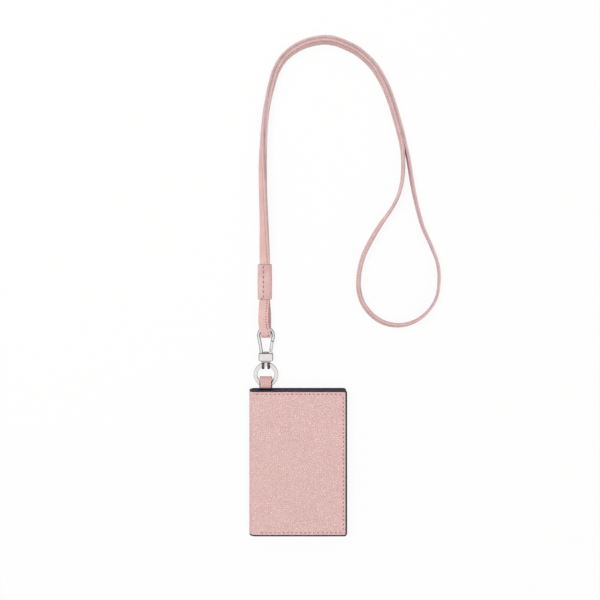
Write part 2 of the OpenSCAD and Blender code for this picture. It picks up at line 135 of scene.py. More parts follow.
def loft(
    rings: Sequence[np.ndarray],
    closed: bool = False,
    column_finish: Optional[Sequence[int]] = None,
    cap_finish: int = 0,
) -> Part:
    """Joins rings of the same number of points into a tube.

    Args:
        rings: The rings in order, each with one row a point.
        closed: Whether the last ring joins the first one; if not, both ends are capped.
        column_finish: Material index for each step round a ring.
        cap_finish: Material index of the end caps.

    Returns:
        Points, faces and the faces' material indices.
    """
    n, m = len(rings[0]), len(rings)
    points = np.concatenate(rings)
    faces: Faces = []
    finishes: list[int] = []
    for i in range(m if closed else m - 1):
        a, b = i * n, ((i + 1) % m) * n
        for j in range(n):
            k = (j + 1) % n
            faces.append((a + j, a + k, b + k, b + j))
            finishes.append(column_finish[j] if column_finish else 0)
    if not closed:
        faces.append(tuple(range(n - 1, -1, -1)))
        faces.append(tuple((m - 1) * n + j for j in range(n)))
        finishes.extend([cap_finish, cap_finish])
    return points, faces, finishes


def make_piece(
    name: str,
    parts: Sequence[Part],
    looks: Sequence[Material],
    body: str = "",
    nodes: Sequence[str] = (),
    sharp: float = 40.0,
) -> Object:
    """Makes a piece in metres from parts in millimetres.

    Args:
        name: Name of the piece.
        parts: Its islands: points, faces and the faces' material indices.
        looks: Its materials, in the order of those indices.
        body: Body that it rides on; none for a piece that rides on no body.
        nodes: CAD nodes that it stands for.
        sharp: Edges that bend more than this many degrees stay sharp.

    Returns:
        The new object.
    """
    mesh = bpy.data.meshes.new(name)
    spots = np.concatenate([points for points, _, _ in parts]) * MM
    faces: Faces = []
    start = 0
    for points, own_faces, _ in parts:
        faces += [tuple(start + i for i in face) for face in own_faces]
        start += len(points)
    mesh.from_pydata([tuple(p) for p in spots], [], faces)
    mesh.polygons.foreach_set("material_index", [mark for part in parts for mark in part[2]])
    for look in looks:
        mesh.materials.append(look)
    edit = bmesh.new()
    edit.from_mesh(mesh)
    bmesh.ops.recalc_face_normals(edit, faces=edit.faces)
    edit.to_mesh(mesh)
    edit.free()
    mesh.polygons.foreach_set("use_smooth", [True] * len(mesh.polygons))
    mesh.set_sharp_from_angle(angle=math.radians(sharp))
    mesh.update()
    piece = bpy.data.objects.new(name, mesh)
    bpy.context.scene.collection.objects.link(piece)
    if body:
        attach(piece, body)
    if nodes:
        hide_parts(*nodes)
    LOG.info("%s: %d points, %d faces", name, len(spots), len(faces))
    return piece


def marked(part: Part, mark: int) -> Part:
    """The same part with another material index on all its faces."""
    return part[0], part[1], [mark] * len(part[1])


def section_at(spot: np.ndarray, side: np.ndarray, out: np.ndarray, outline: Outline) -> np.ndarray:
    """An outline laid along two directions from a spot, one row a point."""
    return np.array([spot + side * s + out * q for s, q in outline])


def sweep(
    line: Iterable[np.ndarray],
    sides: Iterable[np.ndarray],
    outs: Iterable[np.ndarray],
    outline: Outline,
    **marks: object,
) -> Part:
    """Sweeps one section along a line.

    Args:
        line: The section's places.
        sides: Where its first axis points at each place.
        outs: Where its second axis points.
        outline: The section.
        marks: Material indices, as loft takes them.

    Returns:
        Points, faces and the faces' material indices.
    """
    return loft([section_at(p, e, f, outline) for p, e, f in zip(line, sides, outs)], **marks)


def oval(half_a: float, half_b: float, steps: int) -> Outline:
    """Outline of an ellipse."""
    turns = np.arange(steps) * 2 * math.pi / steps
    return [(half_a * math.cos(a), half_b * math.sin(a)) for a in turns]


def smooth_route(points: np.ndarray, step: float) -> np.ndarray:
    """Lays a smooth curve through points and cuts it into even steps.

    Args:
        points: Points that the curve passes, any number of columns.
        step: Length of one step, measured over the first three columns.

    Returns:
        The finer route.
    """
    points = np.asarray(points, float)
    chord = np.linalg.norm(np.diff(points[:, :3], axis=0), axis=1)
    knots = np.concatenate([[0.0], np.cumsum(chord)])
    slopes = np.gradient(points, knots, axis=0)
    count = max(2, int(round(knots[-1] / step)) + 1)
    at = np.linspace(0, knots[-1], count)
    i = np.clip(np.searchsorted(knots, at, side="right") - 1, 0, len(knots) - 2)
    h = (knots[i + 1] - knots[i])[:, None]
    t = ((at - knots[i]) / h[:, 0])[:, None]
    return (
        (2 * t**3 - 3 * t**2 + 1) * points[i]
        + (t**3 - 2 * t**2 + t) * h * slopes[i]
        + (3 * t**2 - 2 * t**3) * points[i + 1]
        + (t**3 - t**2) * h * slopes[i + 1]
    )


def unit_rows(rows: np.ndarray) -> np.ndarray:
    """Each row scaled to length 1."""
    return rows / np.linalg.norm(rows, axis=1)[:, None]


def smooth_share(value: np.ndarray, low: float, high: float) -> np.ndarray:
    """A soft step from 0 at low to 1 at high."""
    t = np.clip((np.asarray(value, float) - low) / (high - low), 0, 1)
    return t * t * (3 - 2 * t)


def rounded_box_outline(half_a: float, half_b: float, r: float, steps: int = 5) -> np.ndarray:
    """Outline of a rectangle with round corners.

    Args:
        half_a: Half its size along the first axis.
        half_b: Half its size along the second axis.
        r: Corner radius.
        steps: Steps of each corner.

    Returns:
        Its points, counter-clockwise.
    """
    rows = []
    for k, (sa, sb) in enumerate([(1, 1), (-1, 1), (-1, -1), (1, -1)]):
        for i in range(steps + 1):
            turn = math.radians(90 * k + 90 * i / steps)
            rows.append(
                [sa * (half_a - r) + r * math.cos(turn), sb * (half_b - r) + r * math.sin(turn)]
            )
    return np.array(rows)


def soft_block(centre: Sequence[float], half: Sequence[float], r: float, lip: float) -> Part:
    """A flat plate with a round outline and soft rims.

    Args:
        centre: Middle of the plate.
        half: Half its size along X, Y and Z.
        r: Radius of its outline's corners.
        lip: Size of the rounding of its rims.

    Returns:
        Points, faces and material indices.
    """
    half_x, half_y, half_z = half
    deep = 0.9 * min(half_x, half_y)
    rim = [(lip + deep * share, half_z) for share in (0.9, 0.5, 0.2)]
    rim += [(lip, half_z), (lip * 0.3, half_z - lip * 0.3), (0, half_z - lip)]
    stack = []
    for inset, z in [(inset, -z) for inset, z in rim] + rim[::-1]:
        outline = rounded_box_outline(half_x - inset, half_y - inset, max(r - inset, min(r, 0.05)))
        stack.append(np.column_stack([outline, np.full(len(outline), z)]) + centre)
    return loft(stack)


def capsule(
    middle: np.ndarray,
    along: np.ndarray,
    up: np.ndarray,
    length: float,
    width: float,
    height: float,
    dip: float,
) -> Part:
    """One stitch: a short bowed length of thread that dives in at both ends.

    Args:
        middle: The stitch's middle, on the leather.
        along: Direction of the thread.
        up: Direction away from the leather.
        length: Length of the stitch.
        width: Width of the thread.
        height: Height of the thread.
        dip: How far its ends go in.

    Returns:
        Points, faces and material indices.
    """
    across = np.cross(up, along)
    rings = []
    for s in (-1.0, -0.86, -0.5, 0.0, 0.5, 0.86, 1.0):
        full = math.sqrt(max(0.0, 1 - abs(s) ** 3)) * 0.92 + 0.08
        core = middle + along * (s * length / 2) - up * (dip * abs(s) ** 2.5)
        rings.append(section_at(core, across, up, oval(full * width / 2, full * height / 2, 6)))
    return loft(rings)


def sewn_stitch(
    middle: np.ndarray,
    along: np.ndarray,
    up: np.ndarray,
    length: float,
    width: float,
    height: float,
    slot: float = 0.2,
) -> list[Part]:
    """One stitch, material 0, over the painted shade of its punched slot, material 1: a flat dark
    capsule with no hole.

    Args:
        middle: The stitch's middle, on the leather.
        along: Direction of the thread.
        up: Direction away from the leather.
        length: Length of the stitch.
        width: Width of the thread.
        height: Height of the thread.
        slot: How much longer the slot's painted shade is than the stitch.

    Returns:
        The stitch and the slot's painted shade.
    """
    low = height * 0.7
    slot_shade = capsule(middle, along, up, length + slot, width + 0.2, low, 0.03)
    return [capsule(middle, along, up, length, width, height, low), marked(slot_shade, 1)]


def plain_row(
    start: Sequence[float],
    along: np.ndarray,
    up: np.ndarray,
    pitch: float,
    count: int,
    *size: float,
) -> list[Part]:
    """A straight row of plain stitches.

    Args:
        start: Middle of the first stitch.
        along: Direction of the row and of the thread.
        up: Direction away from the leather.
        pitch: From one stitch to the next.
        count: Number of stitches.
        size: Length, width, height and dip of a stitch.

    Returns:
        The stitches.
    """
    return [capsule(start + along * (pitch * i), along, up, *size) for i in range(count)]


# ---------------------------------------------------------------- shader groups


Values = dict[str | int, object]


def new_node(tree: NodeTree, kind: str, values: Values, **settings: object) -> NodeOutputs:
    """Adds a node to a tree.

    Args:
        tree: The node tree.
        kind: Blender's name of the node's type, without its first word ShaderNode.
        values: A constant, or a socket to link, for its inputs by name or place.
        settings: Properties to set on it.

    Returns:
        The node's outputs.
    """
    made = tree.nodes.new("ShaderNode" + kind)
    for key, value in settings.items():
        setattr(made, key, value)
    for key, value in values.items():
        if isinstance(value, NodeSocket):
            tree.links.new(value, made.inputs[key])
        else:
            made.inputs[key].default_value = value
    return made.outputs


def calculate(tree: NodeTree, operation: str, *values: object) -> NodeSocket:
    """Adds a sum on one or two values and returns its result."""
    return new_node(tree, "Math", dict(enumerate(values)), operation=operation)["Value"]


def remap(tree: NodeTree, value: NodeSocket, limits: Values, soft: bool = True) -> NodeSocket:
    """Adds a change of range, soft or straight, and returns its result."""
    kind = "SMOOTHSTEP" if soft else "LINEAR"
    limits = {"Value": value, **limits}
    return new_node(tree, "MapRange", limits, interpolation_type=kind)["Result"]


def mix(tree: NodeTree, factor: object, a: object, b: object, kind: str = "RGBA") -> NodeSocket:
    """Adds a mix of two colours, or of two values, and returns its result."""
    return new_node(tree, "Mix", {"Factor": factor, "A": a, "B": b}, data_type=kind)["Result"]


def open_group(name: str, inputs: Values) -> tuple[NodeTree, NodeOutputs, NodeOutputs]:
    """Starts a shared effect: a node group with named inputs.

    Args:
        name: Name of the group.
        inputs: Default of each input; a tuple makes it a colour.

    Returns:
        The tree, the sockets that give its inputs, and the coordinates' sockets.
    """
    tree = bpy.data.node_groups.new(name, "ShaderNodeTree")
    for label, default in inputs.items():
        kind = "NodeSocketColor" if isinstance(default, tuple) else "NodeSocketFloat"
        socket = tree.interface.new_socket(label, in_out="INPUT", socket_type=kind)
        socket.default_value = default
    return tree, tree.nodes.new("NodeGroupInput").outputs, new_node(tree, "TexCoord", {})


def close_group(tree: NodeTree, results: dict[str, NodeSocket]) -> NodeTree:
    """Gives a shared effect its outputs; the one called Colour is a colour.

    Args:
        tree: The group's tree.
        results: Name and value of each output.

    Returns:
        The finished tree.
    """
    for label in results:
        kind = "NodeSocketColor" if label == "Colour" else "NodeSocketFloat"
        tree.interface.new_socket(label, in_out="OUTPUT", socket_type=kind)
    end = tree.nodes.new("NodeGroupOutput")
    for label, socket in results.items():
        tree.links.new(socket, end.inputs[label])
    return tree


def pebble_grain() -> NodeTree:
    """Group: the pebbled grain of embossed leather.

    Returns:
        The node group, with a Height, a mask of the creases, which grained leather darkens as
        painted shade, and a mask of the cell tops, which it lightens as a painted highlight.
    """
    inputs = {"Cells per metre": 1300.0, "Unevenness": 0.5}
    tree, given, place = open_group("pebble_grain", inputs)
    spot, scale = place["Object"], given["Cells per metre"]
    wander = new_node(tree, "TexNoise", {"Vector": spot, "Scale": scale, "Detail": 2.0})
    bent = {"Factor": 0.0006, "A": spot, "B": wander["Color"]}
    bent = new_node(tree, "Mix", bent, data_type="RGBA", blend_type="LINEAR_LIGHT")["Result"]
    cell = {"Vector": bent, "Scale": scale, "Randomness": 0.85}
    cells, walls = (
        new_node(tree, "TexVoronoi", cell, feature=kind)["Distance"]
        for kind in ("F1", "DISTANCE_TO_EDGE")
    )
    dome = remap(tree, walls, {"From Max": 0.32})
    hills = calculate(tree, "MULTIPLY", cells, given["Unevenness"])
    crease_shade = {"From Max": 0.16, "To Min": 1.0, "To Max": 0.0}
    results = {
        "Height": calculate(tree, "ADD", dome, hills),
        "Crease": remap(tree, walls, crease_shade, soft=False),
        "Top highlight": remap(tree, walls, {"From Min": 0.14, "From Max": 0.42}),
    }
    return close_group(tree, results)


def tone_drift() -> NodeTree:
    """Group: slow drift of a colour between a light and a dark tone, with finer flecks.

    Returns:
        The node group, with the drifted Colour and the Mask behind it.
    """
    inputs = {"Light": (0.8, 0.8, 0.8, 1.0), "Dark": (0.5, 0.5, 0.5, 1.0)}
    inputs |= {"Patches per metre": 60.0, "Fleck share": 0.35}
    tree, given, place = open_group("tone_drift", inputs)
    coarse = given["Patches per metre"]
    fine = calculate(tree, "MULTIPLY", coarse, 14.0)
    patches, flecks = (
        new_node(tree, "TexNoise", {"Vector": place["Object"], "Scale": scale, "Detail": detail})
        for scale, detail in ((coarse, 3.0), (fine, 4.0))
    )
    both = mix(tree, given["Fleck share"], patches["Fac"], flecks["Fac"], "FLOAT")
    mask = remap(tree, both, {"From Min": 0.3, "From Max": 0.7})
    colour = mix(tree, mask, given["Light"], given["Dark"])
    return close_group(tree, {"Colour": colour, "Mask": mask})


def fine_fibre() -> NodeTree:
    """Group: the fine irregular surface of smooth leather, paint or thread.

    Returns:
        The node group, with a Height.
    """
    inputs = {"Fibres per metre": 4000.0, "Pore share": 0.3}
    tree, given, place = open_group("fine_fibre", inputs)
    where = {"Vector": place["Object"], "Scale": given["Fibres per metre"]}
    fibres = new_node(tree, "TexNoise", {**where, "Detail": 6.0, "Roughness": 0.65})["Fac"]
    pores = new_node(tree, "TexVoronoi", where, feature="F1")["Distance"]
    opened = remap(tree, pores, {"From Max": 0.35})
    return close_group(tree, {"Height": mix(tree, given["Pore share"], fibres, opened, "FLOAT")})


def wear_and_hollow_shade() -> NodeTree:
    """Group: rubbed edges, and hollows darkened as grime and painted shade, from how the surface
    bends.

    Returns:
        The node group, with a Worn mask and a mask of the hollows, which materials darken as grime
        and painted shade.
    """
    tree, given, place = open_group("wear_and_hollow_shade", {"Breaks per metre": 500.0})
    bend = new_node(tree, "NewGeometry", {})["Pointiness"]
    where = {"Vector": place["Object"], "Scale": given["Breaks per metre"], "Detail": 4.0}
    breaks = new_node(tree, "TexNoise", where)["Fac"]
    worn = remap(tree, bend, {"From Min": 0.52, "From Max": 0.62}, soft=False)
    grime_and_shade = remap(tree, bend, {"From Min": 0.49, "From Max": 0.4}, soft=False)
    return close_group(tree, {"Worn": calculate(tree, "MULTIPLY", worn, breaks), "Grime and shade": grime_and_shade})


def painted_side_shade() -> NodeTree:
    """Group: a mask of the steep sides of a piece, which materials darken as painted shade and dark
    reflection.

    Returns:
        The node group, with a Side mask.
    """
    tree, given, place = open_group("painted_side_shade", {"Top ends at": 0.75, "Side starts at": 0.25})
    rise = new_node(tree, "SeparateXYZ", {"Vector": place["Normal"]})["Z"]
    limits = {"From Min": given["Top ends at"], "From Max": given["Side starts at"]}
    return close_group(tree, {"Side": remap(tree, calculate(tree, "ABSOLUTE", rise), limits)})


class Effects:
    """The shader groups, each built the first time that a finish asks for it."""

    _built: dict[str, NodeTree] = {}

    @classmethod
    def get(cls, make: Callable[[], NodeTree]) -> NodeTree:
        """Returns the group that a maker builds, building it once."""
        if make.__name__ not in cls._built:
            cls._built[make.__name__] = make()
        return cls._built[make.__name__]


class Coat:
    """One material while its nodes are put together."""

    def __init__(self, name: str, **values: object) -> None:
        """Starts a material with a bare Principled shader.

        Args:
            name: Name of the finish.
            values: Its shader's sockets; underscores in a name stand for spaces.
        """
        self.material = bpy.data.materials.new(f"finish_{name}")
        self.material.use_nodes = True
        self.tree = self.material.node_tree
        self.shader = self.tree.nodes["Principled BSDF"].inputs
        for key, value in values.items():
            self.shader[key.replace("_", " ")].default_value = value

    def effect(
        self, make: Callable[[], NodeTree], **values: object
    ) -> NodeOutputs:
        """Places a shared effect in this material.

        Args:
            make: The effect's maker.
            values: Its inputs; underscores in a name stand for spaces.

        Returns:
            The outputs of the group's node.
        """
        inputs = {key.replace("_", " "): value for key, value in values.items()}
        return new_node(self.tree, "Group", inputs, node_tree=Effects.get(make))

    def tone(
        self, light: str, dark: str, patches: float, flecks: float
    ) -> NodeOutputs:
        """Places the drift between two tones.

        Args:
            light: The light tone.
            dark: The dark tone.
            patches: Patches in a metre.
            flecks: Share of the finer flecks.

        Returns:
            The outputs of the group's node.
        """
        return self.effect(
            tone_drift,
            Light=linear(light),
            Dark=linear(dark),
            Patches_per_metre=patches,
            Fleck_share=flecks,
        )

    def fibre(self, fibres: float, pores: float) -> NodeSocket:
        """Places the fine fibre effect and returns its height."""
        return self.effect(fine_fibre, Fibres_per_metre=fibres, Pore_share=pores)["Height"]

    def wear(self, breaks: float) -> NodeOutputs:
        """Places the effect of worn edges and of hollows darkened as grime and painted shade, and
        returns its outputs.
        """
        return self.effect(wear_and_hollow_shade, Breaks_per_metre=breaks)

    def sides(self, top: float, side: float) -> NodeSocket:
        """Places the mask of the steep sides, for painted shade and dark reflection, and returns
        it.
        """
        return self.effect(painted_side_shade, Top_ends_at=top, Side_starts_at=side)["Side"]

    def link(self, value: NodeSocket, name: str) -> None:
        """Links a value to a socket of the shader."""
        self.tree.links.new(value, self.shader[name])

    def bump(
        self, height: NodeSocket, depth: float, below: Optional[NodeSocket] = None
    ) -> NodeSocket:
        """Adds a bump of a real depth.

        Args:
            height: Socket with the height.
            depth: Depth in millimetres for a height of 1.
            below: Normal of the bump that this one lies on.

        Returns:
            The bump's normal.
        """
        values: Values = {"Distance": depth * MM, "Height": height}
        if below is not None:
            values["Normal"] = below
        normal = new_node(self.tree, "Bump", values)["Normal"]
        self.link(normal, "Normal")
        return normal

    def paint(self, colour: NodeSocket, *layers: tuple[str, NodeSocket, float]) -> None:
        """Gives the shader its colour, with others laid over it where masks say so.

        Args:
            colour: Socket with the colour below.
            layers: For each layer its colour, its mask and how much of it a full mask shows.
        """
        for over, mask, share in layers:
            amount = calculate(self.tree, "MULTIPLY", mask, share)
            colour = mix(self.tree, amount, colour, linear(over))
        self.link(colour, "Base Color")

    def vary_roughness(self, mask: NodeSocket, low: float, high: float) -> None:
        """Lets the roughness follow a mask, from low at 0 to high at 1."""
        limits = {"To Min": low, "To Max": high}
        self.link(remap(self.tree, mask, limits, soft=False), "Roughness")


# ---------------------------------------------------------------- finishes


@dataclass(frozen=True)
class GrainedLeather:
    """Embossed, pigmented leather with a pebbled grain; its creases are darkened as painted shade,
    its grain tops lightened as a painted highlight, and its hollows darkened as grime and painted
    shade.
    """

    name: str
    light: str
    dark: str
    crease_shade: str
    top_highlight: str
    cells: float = 680.0
    depth: float = 0.2
    crease_shade_share: float = 0.62
    top_highlight_share: float = 0.55

    def make(self) -> Material:
        """Builds the material."""
        coat = Coat(self.name, Specular_IOR_Level=0.35, Sheen_Weight=0.04, Coat_Weight=0.0)
        grain = coat.effect(pebble_grain, Cells_per_metre=self.cells, Unevenness=0.6)
        tone = coat.tone(self.light, self.dark, 90.0, 0.15)
        wear = coat.wear(600.0)
        coat.paint(
            tone["Colour"],
            # Painted shade in the grain's creases and a painted highlight on its tops.
            (self.crease_shade, grain["Crease"], self.crease_shade_share),
            (self.top_highlight, grain["Top highlight"], self.top_highlight_share),
            (self.dark, wear["Grime and shade"], 0.6),
            (self.light, wear["Worn"], 0.5),
        )
        coat.vary_roughness(grain["Crease"], 0.46, 0.66)
        coat.bump(grain["Height"], self.depth, coat.bump(coat.fibre(6000.0, 0.2), 0.012))
        return coat.material


@dataclass(frozen=True)
class SmoothLeather:
    """Smooth leather of the strap and its inner ply, with fine pores, hollows darkened as grime and
    painted shade, and, where a side share is given, steep sides darkened as painted shade.
    """

    name: str
    light: str
    dark: str
    rough: float = 0.52
    pores: float = 2600.0
    side_shade_share: float = 0.0

    def make(self) -> Material:
        """Builds the material."""
        coat = Coat(self.name, Specular_IOR_Level=0.3, Sheen_Weight=0.05)
        tone = coat.tone(self.light, self.dark, 120.0, 0.5)
        grain = coat.effect(pebble_grain, Cells_per_metre=self.pores, Unevenness=0.4)
        coat.paint(
            tone["Colour"],
            (self.dark, coat.wear(800.0)["Grime and shade"], 0.7),
            # Painted shade on the steep sides; only the keeper's leather gives it a share.
            (self.dark, coat.sides(0.8, 0.3), self.side_shade_share),
        )
        coat.vary_roughness(tone["Mask"], self.rough - 0.06, self.rough + 0.08)
        coat.bump(grain["Height"], 0.035, coat.bump(coat.fibre(7000.0, 0.35), 0.02))
        return coat.material


@dataclass(frozen=True)
class EdgePaint:
    """Thick dark edge paint, slightly glossy, rubbed where it turns."""

    name: str
    light: str
    dark: str
    rubbed: str

    def make(self) -> Material:
        """Builds the material."""
        coat = Coat(self.name, Specular_IOR_Level=0.22)
        tone = coat.tone(self.light, self.dark, 300.0, 0.5)
        coat.paint(tone["Colour"], (self.rubbed, coat.wear(1500.0)["Worn"], 0.25))
        coat.vary_roughness(tone["Mask"], 0.42, 0.6)
        coat.bump(coat.fibre(2500.0, 0.5), 0.03)
        return coat.material


@dataclass(frozen=True)
class Cloth:
    """Woven or felted stuff: the linings' leathered cloth, the board and the thread."""

    name: str
    light: str
    dark: str
    fibres: float
    depth: float
    rough: float

    def make(self) -> Material:
        """Builds the material."""
        coat = Coat(self.name, Specular_IOR_Level=0.25, Sheen_Weight=0.12, Sheen_Roughness=0.5)
        coat.paint(coat.tone(self.light, self.dark, self.fibres / 12, 0.55)["Colour"])
        fibre = coat.fibre(self.fibres, 0.25)
        coat.vary_roughness(fibre, self.rough, min(1.0, self.rough + 0.2))
        coat.bump(fibre, self.depth)
        return coat.material


@dataclass(frozen=True)
class ClearFilm:
    """Clear pocket film, with faint waves and handling marks."""

    name: str
    colour: str

    def make(self) -> Material:
        """Builds the material."""
        clear = linear(self.colour)
        coat = Coat(
            self.name, Base_Color=clear, Specular_IOR_Level=0.5, Coat_Weight=0.3, Alpha=0.16
        )
        waves = coat.effect(tone_drift, Patches_per_metre=70.0, Fleck_share=0.2)["Mask"]
        coat.vary_roughness(waves, 0.05, 0.16)
        coat.bump(coat.fibre(900.0, 0.0), 0.006, coat.bump(waves, 0.25))
        return coat.material


@dataclass(frozen=True)
class Metal:
    """Plated or bare metal, with polishing marks, hollows darkened as grime and painted shade, and
    steep sides darkened as painted shade and dark reflection.
    """

    name: str
    light: str
    dark: str
    grime_and_shade: str
    rough_low: float
    rough_high: float
    marks: float = 1800.0
    side_shade_share: float = 0.75

    def make(self) -> Material:
        """Builds the material."""
        coat = Coat(self.name, Metallic=1.0)
        tone = coat.tone(self.light, self.dark, 250.0, 0.4)
        coat.paint(
            tone["Colour"],
            (self.grime_and_shade, coat.wear(900.0)["Grime and shade"], 0.8),
            # Painted shade and dark reflection on the steep sides.
            (self.grime_and_shade, coat.sides(0.96, 0.75), self.side_shade_share),
        )
        coat.vary_roughness(tone["Mask"], self.rough_low, self.rough_high)
        coat.bump(coat.fibre(self.marks, 0.1), 0.006)
        return coat.material


class Finishes:
    """Every finish of the wallet, made once."""

    def __init__(self) -> None:
        """Makes the materials; the colours are what sRGB shows, in hexadecimal."""
        # The last two colours of each grained leather are the painted shade of its creases and the
        # painted highlight of its grain tops.
        cover = GrainedLeather("grained_leather", "e1bdb9", "ddb8b4", "c29696", "f6d8d1")
        self.cover = cover.make()
        self.tab = GrainedLeather("tab_leather", "e0b9b5", "d4aaa8", "be9292", "e8c8c2").make()
        self.strap = SmoothLeather("strap_outer", "e3beb8", "d3aca7").make()
        self.strap_back = SmoothLeather("strap_inner", "ceb4b8", "b89ea2", 0.7).make()
        self.strap_inside = SmoothLeather("strap_inner_face", "eab8bc", "d8a8ac", 0.6).make()
        self.strap_core = SmoothLeather("strap_cut_edge", "b49296", "9c7a80", 0.75).make()
        self.paint = EdgePaint("edge_paint", "28253a", "1e1c2f", "464156").make()
        self.lining = Cloth("lining", "343142", "262332", 2200.0, 0.05, 0.62).make()
        self.board = Cloth("board", "7c6c5a", "625446", 1500.0, 0.08, 0.8).make()
        self.thread = Cloth("thread", "925862", "784450", 5000.0, 0.06, 0.6).make()
        # The keeper's leather darkens its steep sides as painted shade.
        keeper = SmoothLeather("keeper_leather", "e0beb8", "cca2a0", 0.5, side_shade_share=0.95)
        self.keeper = keeper.make()
        self.strap_thread = Cloth("strap_thread", "5c2e3c", "4c2432", 5000.0, 0.06, 0.6).make()
        # The punched slot under each stitch is a painted shade, darker than the leather.
        self.slot = Cloth("punched_slot_shade", "a07074", "885a60", 5000.0, 0.04, 0.85).make()
        self.film = ClearFilm("clear_film", "e2e8ee").make()
        self.nickel = Metal("polished_nickel", "ece8e7", "e3dfde", "544c50", 0.09, 0.18).make()
        # Darker nickel, a painted shade and dark reflection, on the eye's prongs and the cut tips
        # of the hook's bar and gate.
        self.painted_shade_nickel = Metal("nickel_painted_shade", "70686c", "544e54", "28242a", 0.12, 0.24).make()
        self.spring = Metal("spring_steel", "b0aeb0", "969498", "5a565a", 0.22, 0.36).make()


# ---------------------------------------------------------------- covers


@dataclass(frozen=True)
class BentSheet:
    """A sheet that lies over one cover and bends round half of the spine.

    A place on it is told by its distance a along the sheet, which equals X on the flat part,
    by Y and by its depth below the outer face.
    """

    side: Side
    bend_r: float = 4.7

    @property
    def bend_x(self) -> float:
        """Where the flat part ends and the bend starts."""
        return -SIZES.half_w + self.bend_r

    @property
    def spine_a(self) -> float:
        """Where the sheet ends, at the middle of the spine."""
        return self.bend_x - math.pi / 2 * self.bend_r - (SIZES.thickness / 2 - self.bend_r)

    def _turn(self, a: np.ndarray) -> np.ndarray:
        """How far the sheet has turned at a."""
        return np.clip((self.bend_x - a) / self.bend_r, 0, math.pi / 2)

    def normal(self, a: np.ndarray) -> np.ndarray:
        """Outward direction at a, one row each."""
        turn = self._turn(np.atleast_1d(np.asarray(a, float)))
        flip = 1.0 if self.side is Side.FRONT else -1.0
        return np.column_stack([-np.sin(turn), np.zeros_like(turn), flip * np.cos(turn)])

    def spot(self, a: np.ndarray, y: np.ndarray, depth: np.ndarray) -> np.ndarray:
        """Places on the sheet.

        Args:
            a: Distance along the sheet.
            y: Place along the spine.
            depth: Depth below the outer face.

        Returns:
            One row each in the frame.
        """
        a, y, depth = (np.ravel(v) for v in np.broadcast_arrays(a, y, depth))
        turn = self._turn(a)
        down = np.maximum(self.bend_x - a - math.pi / 2 * self.bend_r, 0)
        x = np.where(a < self.bend_x, self.bend_x - (self.bend_r - depth) * np.sin(turn), a)
        z = SIZES.thickness - self.bend_r + (self.bend_r - depth) * np.cos(turn) - down
        if self.side is Side.BACK:
            z = SIZES.thickness - z
        return np.column_stack([x, y, z])

    def attach(self, piece: Object, *nodes: str) -> None:
        """Fixes a piece's place into its mesh and hides the CAD nodes that it stands for."""
        if self.side is Side.FRONT:
            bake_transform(piece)
        else:
            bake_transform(piece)
        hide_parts(*nodes)


